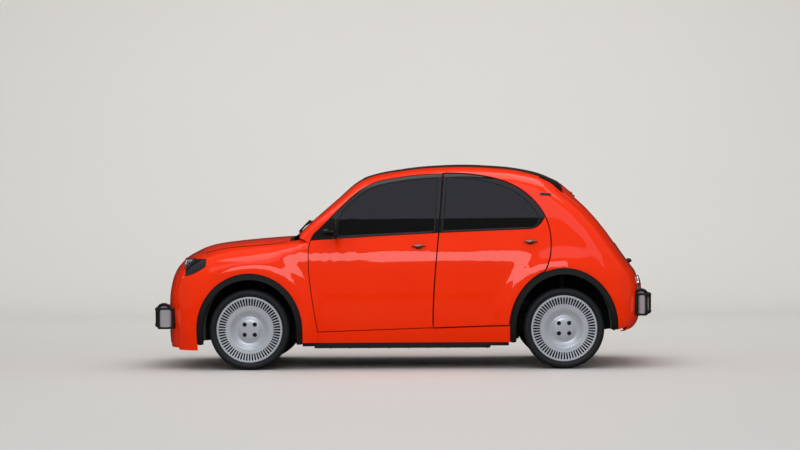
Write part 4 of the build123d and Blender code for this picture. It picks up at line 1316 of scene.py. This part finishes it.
# ------------------------------------------------------------------ cabin
@dataclass(frozen=True)
class Pad:
    """One stuffed part of a seat, drawn lying flat: X along, Y across, Z out of the side that is sat on."""

    name: str
    size: Triple
    middle: Triple
    turn: float
    side_panel: float = 0.0
    seams: tuple[float, ...] = ()
    hollow: float = 0.016
    swell: float = 0.011
    rounding: float = 0.034
    fill: float = 0.75

    def lean_size(self) -> Triple:
        """Size before the stuffing swells it."""
        return tuple(d - 2 * self.swell for d in self.size)

    def flat(self) -> float:
        """Half width of the panel that is sat on, between the side panels."""
        return self.lean_size()[1] / 2 - self.side_panel

    def seam_lines(self) -> list[float]:
        """Places of the cross seams along the pad."""
        return [(share - 0.5) * self.lean_size()[0] for share in self.seams]


@dataclass
class Upholsterer:
    """Stuffs pads by cloth simulation and sets them up as seats."""

    voxel: float = 0.010
    sim_frames: int = 20
    most_move: float = 0.024
    pressure: float = 4.0
    seam_depth: float = 0.004

    def start_mesh(self, pad: Pad) -> bpy.types.Object:
        """Slightly small, evenly meshed block of a pad, with its face hollowed between the side panels.

        Args:
            pad: the pad.

        Returns:
            An object that holds the mesh, with its sewn points in the vertex group "sewn".
        """
        long, wide, thick = pad.lean_size()
        mesh = bpy.data.meshes.new("pad")
        bm = block((long, wide, thick), min(pad.rounding, thick * 0.42), 4)
        bm.to_mesh(mesh)
        bm.free()
        holder = bpy.data.objects.new("pad", mesh)
        bpy.context.scene.collection.objects.link(holder)
        remesh = holder.modifiers.new("even", "REMESH")
        remesh.mode = "VOXEL"
        remesh.voxel_size = self.voxel
        ready = bpy.data.meshes.new_from_object(holder.evaluated_get(bpy.context.evaluated_depsgraph_get()))
        holder.modifiers.clear()
        holder.data = ready
        sewn = holder.vertex_groups.new(name="sewn")
        flat, near = pad.flat(), self.voxel * 0.55
        for vert in ready.vertices:
            x, y, z = vert.co
            inside = max(0.0, 1.0 - (abs(y) / flat) ** 4) if pad.side_panel else 1.0
            ends = max(0.0, 1.0 - (2 * abs(x) / long) ** 8)
            if z > 0:
                vert.co.z -= pad.hollow * inside * ends * z / (thick / 2)
            on_seam = abs(y) < flat + self.voxel and any(abs(x - at) < near for at in pad.seam_lines())
            on_side = pad.side_panel and abs(abs(y) - flat) < near
            stitched = z > thick * 0.25 and (on_seam or on_side)
            if stitched:
                vert.co.z -= self.seam_depth
            if stitched or z < -thick * 0.38:
                sewn.add([vert.index], 1.0, "REPLACE")
        return holder

    def stuffed(self, pads: list[Pad]) -> list[bpy.types.Object]:
        """Blow the pads up together by cloth simulation, with a cap on how far a point moves.

        Args:
            pads: the pads to stuff.

        Returns:
            One object for each pad, lying flat about the origin.
        """
        holders = [self.start_mesh(pad) for pad in pads]
        before = [[v.co.copy() for v in holder.data.vertices] for holder in holders]
        for holder in holders:
            cloth = holder.modifiers.new("stuffing", "CLOTH")
            cloth.settings.quality = 4
            cloth.settings.use_pressure = True
            cloth.settings.uniform_pressure_force = self.pressure
            cloth.settings.effector_weights.gravity = 0.0
            cloth.settings.vertex_group_mass = "sewn"
            cloth.point_cache.frame_start = 1
            cloth.point_cache.frame_end = self.sim_frames
        for step in range(1, self.sim_frames + 1):
            bpy.context.scene.frame_set(step)
        graph = bpy.context.evaluated_depsgraph_get()
        swollen = [bpy.data.meshes.new_from_object(holder.evaluated_get(graph)) for holder in holders]
        for holder, mesh, starts in zip(holders, swollen, before):
            holder.modifiers.clear()
            holder.data = mesh
            for vert, start in zip(mesh.vertices, starts):
                move = vert.co - start
                if move.length > self.most_move:
                    vert.co = start + move * (self.most_move / move.length)
        bpy.context.scene.frame_set(1)
        return holders

    def sewing(self, pad: Pad, mesh: bpy.types.Mesh) -> BMesh:
        """Piping and stitched lines laid on a stuffed pad, which lies flat."""
        tree = BVHTree.FromPolygons([v.co for v in mesh.vertices], [p.vertices for p in mesh.polygons])
        long, wide, thick = pad.lean_size()
        flat, steps = pad.flat(), range(-24, 25)
        lines = [[(x, flat * t / 24) for t in steps] for x in pad.seam_lines()]
        if pad.side_panel:
            reach = long / 2 - pad.rounding
            lines += [[(reach * t / 24, s * flat) for t in steps] for s in (-1, 1)]
        parts = []
        for line in lines:
            hits = [tree.ray_cast(Vector((x, y, 1.0)), -UP) for x, y in line]
            path = [(at, out) for at, out, _, _ in hits if at is not None]
            parts.append(bead(path, round_section(0.0052, 0.0022, 6)))
        welt = []
        for a in (FULL_TURN * k / 96 for k in range(96)):
            way = Vector((math.cos(a) * long, math.sin(a) * wide, 0)).normalized()
            at, out, _, _ = tree.ray_cast(Vector((way.x * 2, way.y * 2, thick * 0.22)), -way)
            if at is not None:
                welt.append((at, (out + way * 0.5).normalized()))
        parts.append(bead(welt, round_section(0.0064, 0.0032, 8), True))
        return joined(parts)

    def finish_pad(self, pad: Pad, mesh: bpy.types.Mesh, name: str, side: float,
                   replaces: tuple[str, ...] = ()) -> None:
        """Set one stuffed pad up in its seat.

        Args:
            pad: the pad.
            mesh: its stuffed mesh, lying flat.
            name: name of the piece.
            side: how far the seat stands to the right of the car's middle.
            replaces: CAD nodes that the pad stands for.
        """
        x, y, z = pad.middle
        spot = tilted((FRONT_AXLE + x, y + side, z), pad.turn)
        bm = bmesh.new()
        bm.from_mesh(mesh)
        piece = add_piece(name, moved(bm, spot), SEAT_CLOTH, "seat_cloth", sharp=180, replaces=replaces)
        if pad.side_panel:
            piece.data.materials.append(material(SEAT_BAND))
            back = spot.inverted()
            for face in piece.data.polygons:
                at = back @ face.center
                face.material_index = int(abs(at.y) < pad.flat() and at.z > pad.size[2] * 0.2)
        smooth = piece.modifiers.new("smooth", "SUBSURF")
        smooth.levels = smooth.render_levels = 1
        add_piece(f"{name}_seams", moved(self.sewing(pad, mesh), spot), SEAL_RUBBER, "seat_cloth")


@dataclass
class Cabin:
    """Seats, steering wheel, dashboard parts, console and linings; places along X are from the front axle."""

    seat_side: float = 0.370
    plinth: Triple = (0.340, 0.370, 0.110)
    plinth_x: float = 1.275
    runner: Triple = (0.400, 0.034, 0.036)
    runner_foot: Triple = (0.050, 0.030, 0.050)
    runner_out: float = 0.16
    recliner: Triple = (0.240, 0.022, 0.090)
    recliner_x: float = 1.400
    recliner_out: float = 0.234
    post_foot: tuple[float, float] = (1.628, 1.035)
    post_rise: Triple = (0.028, 0, 0.10)
    post_out: float = 0.07
    bench: Triple = (0.480, 0.800, 0.150)
    bench_x: float = 2.02
    base_z: float = 0.350
    screen: Triple = (0.012, 1.060, 0.105)
    screen_case: Triple = (0.016, 1.084, 0.122)
    dash_shelf: Triple = (0.034, 1.180, 0.020)
    vent_spots: tuple[float, ...] = (-0.545, -0.13, 0.13, 0.545)
    console: Triple = (0.560, 0.150, 0.170)
    console_tray: Triple = (0.360, 0.100, 0.060)
    rear_shelf: Triple = (0.300, 0.780, 0.018)
    rim_radius: float = 0.172
    rim_tube: float = 0.0135
    wheel_tilt: float = 65.0
    screen_lean: float = 12.0
    screen_rise: float = 0.018
    pedal_lean: float = -28.0

    def seats(self) -> None:
        """Two front seats and the rear bench, all stuffed in one simulation."""
        front = [Pad("seat_cushion", (0.456, 0.476, 0.138), (1.270, 0, 0.470), 0, 0.085, (0.30, 0.58, 0.80)),
                 Pad("seat_back", (0.552, 0.456, 0.108), (1.560, 0, 0.800), -74, 0.080, (0.28, 0.52, 0.76)),
                 Pad("head_pad", (0.170, 0.250, 0.086), (1.664, 0, 1.160), -74, hollow=0.006)]
        rear = [Pad("rear_cushion", (0.482, 0.842, 0.142), (2.005, 0, 0.486), 0, 0.060, (0.34, 0.68)),
                Pad("rear_back", (0.552, 0.842, 0.108), (2.330, 0, 0.800), -72, 0.060, (0.33, 0.66))]
        maker = Upholsterer()
        stuffed = maker.stuffed(front + rear)
        for pad, holder in zip(front, stuffed):
            for hand, s in HANDS.items():
                swap = ("front_seats",) if hand == "left" and pad.name == "seat_cushion" else ()
                maker.finish_pad(pad, holder.data, f"{pad.name}_{hand}", s * self.seat_side, swap)
        for pad, holder in zip(rear, stuffed[len(front):]):
            swap = ("rear_seat",) if pad.name == "rear_cushion" else ()
            maker.finish_pad(pad, holder.data, pad.name, 0.0, swap)
        discard(stuffed)

    def seat_frames(self) -> None:
        """Plinths, runners, recliner covers and head pad posts."""
        plastic, steel = [], []
        plinth_x, recliner_x = FRONT_AXLE + self.plinth_x, FRONT_AXLE + self.recliner_x
        for y in (-self.seat_side, self.seat_side):
            plastic.append(block(self.plinth, 0.02, 3, (plinth_x, y, self.base_z)))
            for s in (-1, 1):
                run = y + s * self.runner_out
                low = Vector((FRONT_AXLE + self.post_foot[0], y + s * self.post_out, self.post_foot[1]))
                plastic.append(block(self.recliner, 0.010, 3, (recliner_x, y + s * self.recliner_out, 0.430)))
                steel += [block(self.runner, 0.006, 2, (plinth_x, run, 0.276)),
                          block(self.runner_foot, 0.005, 2, (recliner_x, run, 0.300)),
                          rod(low, low + Vector(self.post_rise), 0.006)]
        plastic.append(block(self.bench, 0.02, 3, (FRONT_AXLE + self.bench_x, 0, self.base_z)))
        add_piece("seat_plinths", joined(plastic), GRAINED_PLASTIC, "dash_plastic")
        add_piece("seat_runners", joined(steel), SPRING_STEEL, "chassis_steel")

    def steering_wheel(self) -> None:
        """Padded rim, three spokes, hub pad and two clusters of keys; local Z is the wheel's axis."""
        tilt = math.radians(self.wheel_tilt)
        spot = seated(middle("steering_wheel"), Vector((math.sin(tilt), 0, math.cos(tilt))), RIGHT)
        flat = Matrix.Rotation(math.pi / 2, 4, "X")
        ring = [(self.rim_radius + self.rim_tube * math.cos(a), self.rim_tube * math.sin(a))
                for a in (FULL_TURN * k / 16 for k in range(17))]
        hub = turned([(0, 14), (24, 13), (38, 9), (45, 1), (46, -8), (42, -24), (0, -26)], 64)
        spokes = [moved(hub, flat)]
        for angle, wide in ((0, 0.038), (180, 0.038), (270, 0.050)):
            arm = block((0.130, wide, 0.016), 0.006, 3, (0.102, 0, -0.006))
            spokes.append(moved(arm, Matrix.Rotation(math.radians(angle), 4, "Z")))
        keys = [block((0.015, 0.012, 0.004), 0.0015, 2, (s * (0.072 + 0.018 * k), 0.004, 0.003))
                for s in (-1, 1) for k in range(3)]
        for name, bm, finish in (("rim", moved(turned(ring, 96, 1.0), flat), SOFT_SKIN),
                                 ("hub_pad", joined(spokes), BLACK_ABS), ("keys", joined(keys), SATIN_ALUMINIUM)):
            add_piece(f"wheel_{name}", moved(bm, spot), finish, "dash_plastic", "steering_wheel",
                      replaces=("steering_wheel",) if name == "rim" else ())

    def air_vent(self, at: Triple, fins: int = 4) -> BMesh:
        """Air vent with its fins."""
        edge = carved(block((0.016, 0.130, 0.044), 0.005, 2), block((0.040, 0.116, 0.032), 0.003, 1))
        parts = [block((0.010, 0.118, 0.0022), 0.0008, 1, (0, 0, (k - 1.5) * 0.0075)) for k in range(fins)]
        return moved(joined([edge] + parts), Matrix.Translation(at))

    def dashboard(self) -> None:
        """Wide screen, pale shelf, air vents, stalks, pedals and the console between the seats."""
        low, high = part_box("dashboard")
        column = middle("steering_column")
        lean, rise = self.screen_lean, high.z + self.screen_rise
        screen = moved(block(self.screen, 0.005), tilted((high.x - 0.040, 0, rise), lean))
        case = moved(block(self.screen_case, 0.006), tilted((high.x - 0.049, 0, rise), lean))
        vents = [self.air_vent((high.x - 0.008, y, high.z - 0.076)) for y in self.vent_spots]
        stalks = [rod(column + Vector((0.030, s * 0.025, 0.008)), column + Vector((0.036, s * 0.150, 0.020)), 0.0055)
                  for s in (-1, 1)]
        console = carved(block(self.console, 0.028, 4, (FRONT_AXLE + 1.250, 0, 0.345)),
                         block(self.console_tray, 0.014, 3, (FRONT_AXLE + 1.200, 0, 0.420)))
        pedals = []
        for y, wide in ((column.y - 0.010, 0.060), (column.y + 0.100, 0.050)):
            pad = moved(block((0.012, wide, 0.075), 0.004, 2), tilted((low.x + 0.125, y, 0.345), self.pedal_lean))
            pedals += [pad, rod((low.x + 0.115, y, 0.350), (low.x + 0.060, y, 0.640), 0.008)]
        shelf = block(self.dash_shelf, 0.007, 3, (high.x - 0.010, 0, high.z - 0.110))
        for name, bm, finish in (("wide_screen", screen, SCREEN_FACE), ("screen_housing", case, BLACK_ABS),
                                 ("dash_shelf", shelf, PALE_TRIM), ("air_vents", joined(vents), BLACK_ABS),
                                 ("column_stalks", joined(stalks), BLACK_ABS), ("centre_console", console, SOFT_SKIN)):
            add_piece(name, bm, finish, "dash_plastic")
        add_piece("pedals", joined(pedals), COATED_STEEL, "chassis_steel")

    def linings(self) -> None:
        """Roof lining, rear shelf and floor mats."""
        add_piece("roof_lining", lining("roof_panel", -UP, 1.30, 1.70, 0.5), PALE_TRIM, "dash_plastic")
        shelf = block(self.rear_shelf, 0.006, 2, (FRONT_AXLE + 2.580, 0, 0.955))
        add_piece("rear_shelf", shelf, FELT, "dash_plastic")
        floor = Skin("floor_pan")
        mats = []
        for x, y, long, wide in ((0.66, -0.37, 0.40, 0.44), (0.66, 0.37, 0.40, 0.44), (1.62, -0.34, 0.24, 0.46),
                                 (1.62, 0.34, 0.24, 0.46)):
            at, _ = floor.top(FRONT_AXLE + x, y)
            mats.append(block((long, wide, 0.010), 0.004, 2, (at.x, y, at.z + 0.005)))
        add_piece("floor_mats", joined(mats), SEAL_RUBBER, "dash_plastic")

    def build(self) -> None:
        """Add the cabin's pieces."""
        dress(SOFT_SKIN, "dashboard", "steering_column", "steering_wheel")
        dress(SEAT_CLOTH, "front_seats", "rear_seat")
        self.seats()
        self.seat_frames()
        self.steering_wheel()
        self.dashboard()
        self.linings()


@dataclass
class UnderBody:
    """Coil springs, battery ribs and the tray under the bonnet."""

    coil_radius: float = 0.040
    wire: float = 0.006
    turns: int = 6
    turn_steps: int = 14
    damper_x: float = 0.072
    damper_y: float = 0.500
    spring_foot: float = 0.470
    ribs: int = 9
    rib_wide: float = 0.040
    fins: int = 14
    tray: Triple = (0.480, 0.760, 0.045)
    lid: Triple = (0.300, 0.180, 0.016)
    lid_spots: Triple = (-0.22, 0.0, 0.22)

    def coil(self, foot: Vector, tall: float) -> BMesh:
        """Upright coil spring whose wire ends on the far side, towards the middle of the car."""
        turn = UP.to_track_quat("Z", "Y").to_matrix()
        steps = self.turns * self.turn_steps
        path = []
        for k in range(steps + 1):
            a = FULL_TURN * k / self.turn_steps
            flat = turn @ Vector((math.cos(a), math.sin(a), 0))
            path.append((foot + flat * self.coil_radius + UP * (tall * k / steps), flat))
        return bead(path, round_section(self.wire * 2, self.wire, 8))

    def springs(self) -> None:
        """Springs round the front dampers, up to their CAD heads."""
        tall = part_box("front_suspension")[1].z - 0.012 - self.spring_foot
        coils = [self.coil(Vector((FRONT_AXLE + self.damper_x, s * self.damper_y, self.spring_foot)), tall)
                 for s in (-1, 1)]
        add_piece("coil_springs", joined(coils), SPRING_STEEL, "chassis_steel")

    def battery(self) -> None:
        """Ribs and bolts under the battery case."""
        low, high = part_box("battery_pack")
        ribs, bolts = [], []
        for k in range(self.ribs):
            x = low.x + (high.x - low.x) * (k + 0.5) / self.ribs
            ribs.append(block((self.rib_wide, high.y - low.y - 0.10, 0.012), 0.004, 2, (x, 0, low.z + 0.004)))
            for s in (-1, 1):
                at = Vector((x + 0.05, s * (high.y - 0.022), low.z))
                bolts.append(rod(at + UP * 0.004, at - UP * 0.003, 0.009, 6))
        add_piece("battery_ribs", joined(ribs), CAST_ALUMINIUM, "battery_case")
        add_piece("battery_bolts", joined(bolts), SPRING_STEEL, "chassis_steel")

    def bonnet_tray(self) -> None:
        """Moulded tray with lids above the motor, and fins under the motor."""
        low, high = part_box("drive_motor")
        lids = [block(self.tray, 0.016, 3, (FRONT_AXLE - 0.06, 0, high.z + 0.024))]
        lids += [block(self.lid, 0.006, 3, (FRONT_AXLE - 0.05, y, high.z + 0.052)) for y in self.lid_spots]
        add_piece("bonnet_tray", joined(lids), GRAINED_PLASTIC, "black_cladding")
        step = (high.x - low.x) / (self.fins + 1)
        fins = [block((0.004, high.y - low.y - 0.06, 0.016), 0.001, 1, (low.x + step * (k + 1), 0, low.z + 0.004))
                for k in range(self.fins)]
        add_piece("motor_fins", joined(fins), CAST_ALUMINIUM, "battery_case")

    def build(self) -> None:
        """Add the pieces under the body and the bonnet."""
        self.springs()
        self.battery()
        self.bonnet_tray()


# ------------------------------------------------------------------ light, floor and camera
# pale sheet of the studio floor and backdrop
STUDIO_FLOOR = Finish("pale_studio_sheet", "#DAD8D4", "#D6D4D0", 0.6, SPRAYED, 40.0, 0.0, drift_mm=4000.0)


@dataclass
class Studio:
    """Pale floor, soft lamps and the camera."""

    focal_mm: float = 84.87
    camera_at: Triple = (0.243, -15.2, 1.024)
    yaw: float = 1.0
    pitch: float = 0.32
    roll: float = 0.33
    half_wide: float = 30.0
    near_edge: float = -26.0
    curve_start: float = 9.0
    curve_radius: float = 5.0
    curve_steps: int = 12
    wall_top: float = 16.0
    # the floor's colour as reflections see it: a painted dark reflection
    painted_floor_reflection: str = "#2E130D"
    horizon: str = "#C9C6C2"
    zenith: str = "#F4F4F4"
    room_light: float = 0.85
    room_reflection: float = 0.16

    def floor(self) -> None:
        """Pale floor that curves up into a backdrop."""
        bm = bmesh.new()
        start, radius = self.curve_start, self.curve_radius
        bends = [math.pi / 2 * k / self.curve_steps for k in range(1, self.curve_steps + 1)]
        profile = [(self.near_edge, 0.0), (start, 0.0)]
        profile += [(start + radius * math.sin(a), radius * (1 - math.cos(a))) for a in bends]
        profile.append((start + radius, self.wall_top))
        verts = [bm.verts.new((-self.half_wide, y, z)) for y, z in profile]
        edges = [bm.edges.new(two) for two in zip(verts, verts[1:])]
        made = bmesh.ops.extrude_edge_only(bm, edges=edges)
        far = [g for g in made["geom"] if isinstance(g, bmesh.types.BMVert)]
        bmesh.ops.translate(bm, vec=(2 * self.half_wide, 0, 0), verts=far)
        bmesh.ops.recalc_face_normals(bm, faces=bm.faces)
        mesh = bpy.data.meshes.new("floor")
        bm.to_mesh(mesh)
        bm.free()
        mesh.shade_smooth()
        mesh.materials.append(self.floor_look())
        floor = bpy.data.objects.new("floor", mesh)
        bpy.context.scene.collection.objects.link(floor)

    def floor_look(self) -> bpy.types.Material:
        """Pale sheet whose colour in reflections is painted dark, a painted shade in the reflections, so that the lower
        body keeps its deep colour.
        """
        made = material(STUDIO_FLOOR)
        tree = made.node_tree
        shader = tree.nodes["Principled BSDF"]
        plain = shader.inputs["Base Color"].links[0].from_socket
        rays = add_node(tree, "ShaderNodeLightPath")
        # reflections of the floor get the painted dark colour instead of the pale one
        tree.links.new(blend(tree, rays.outputs["Is Glossy Ray"], plain, self.painted_floor_reflection),
                       shader.inputs["Base Color"])
        return made

    def lamp(self, name: str, at: Triple, aim: Triple, size: tuple[float, float], power: float,
             tint: str = "#FFFFFF") -> None:
        """Add one soft rectangular lamp.

        Args:
            name: the lamp's name.
            at: its place.
            aim: the place that it faces.
            size: its width and height.
            power: its power in watts.
            tint: its colour.
        """
        data = bpy.data.lights.new(name, "AREA")
        data.shape = "RECTANGLE"
        data.size, data.size_y = size
        data.energy = power
        data.color = linear(tint)[:3]
        lamp = bpy.data.objects.new(name, data)
        lamp.location = at
        lamp.rotation_euler = (Vector(aim) - Vector(at)).to_track_quat("-Z", "Y").to_euler()
        bpy.context.scene.collection.objects.link(lamp)

    def lamps(self) -> None:
        """Overhead lamp, a long band and a soft wall on the left, and a lamp on the backdrop."""
        self.lamp("overhead", (0.3, -0.2, 6.0), (0.2, 0, 0.6), (7.0, 3.4), 110.0)
        self.lamp("window_band", (0.3, -6.11, 8.44), (0.2, -0.6, 1.2), (15.0, 3.95), 133.0, "#EDEFFF")
        self.lamp("side_wall", (-0.8, -13.0, 6.2), (-0.6, -0.8, 0.9), (6.4, 4.2), 232.0)
        self.lamp("backdrop", (0.0, 5.0, 8.5), (0, 14.0, 2.6), (18.0, 2.0), 500.0)

    def world(self) -> None:
        """Even pale surroundings, brighter above than near the ground."""
        world = bpy.data.worlds.new("studio")
        world.use_nodes = True
        tree = world.node_tree
        back = tree.nodes["Background"]
        place = add_node(tree, "ShaderNodeTexCoord").outputs["Generated"]
        split = add_node(tree, "ShaderNodeSeparateXYZ", {}, {0: place})
        height = add_node(tree, "ShaderNodeMapRange", {"From Min": -0.1, "From Max": 0.7}, {0: split.outputs["Z"]})
        tree.links.new(blend(tree, height.outputs["Result"], self.horizon, self.zenith), back.inputs["Color"])
        rays = add_node(tree, "ShaderNodeLightPath")
        strength = add_node(tree, "ShaderNodeMapRange", {"To Min": self.room_light, "To Max": self.room_reflection},
                            {"Value": rays.outputs["Is Glossy Ray"]})
        tree.links.new(strength.outputs["Result"], back.inputs["Strength"])
        bpy.context.scene.world = world

    def camera(self) -> None:
        """Long-lens camera on the car's left, a little above the ground."""
        yaw, pitch, roll = (math.radians(a) for a in (self.yaw, self.pitch, self.roll))
        ahead = Vector((-math.sin(yaw) * math.cos(pitch), math.cos(yaw) * math.cos(pitch), math.sin(pitch)))
        side = ahead.cross(UP).normalized()
        top = side.cross(ahead)
        side, top = (side * math.cos(roll) - top * math.sin(roll), side * math.sin(roll) + top * math.cos(roll))
        turn = Matrix((side, top, -ahead)).transposed().to_4x4()
        data = bpy.data.cameras.new("camera")
        data.lens = self.focal_mm
        data.sensor_width = 36.0
        data.clip_end = 100.0
        camera = bpy.data.objects.new("camera", data)
        camera.matrix_world = Matrix.Translation(self.camera_at) @ turn
        bpy.context.scene.collection.objects.link(camera)
        bpy.context.scene.camera = camera

    def build(self) -> None:
        """Set up the studio."""
        self.floor()
        self.lamps()
        self.world()
        self.camera()
        bpy.context.scene.view_settings.view_transform = "Standard"


def main() -> None:
    """Build the car's looks and the studio."""
    logging.basicConfig(level=logging.INFO)
    Studio().build()
    BodyPanels().build()
    master = Wheel("front", "left")
    cover, tyre = master.cover(), master.tyre()
    for end in ("front", "rear"):
        for hand in HANDS:
            Wheel(end, hand).build(cover, tyre)
            Door(end, hand).build()
    cover.free()
    tyre.free()
    for hand in HANDS:
        Mirror(hand).build()
        Headlamp(hand).build()
    Bumper(True).build()
    Bumper(False).build()
    dress(BUMPER_SILVER, "bumpers")
    Nose().build()
    Tail().build()
    Cabin().build()
    UnderBody().build()


if __name__ == "__main__":
    main()
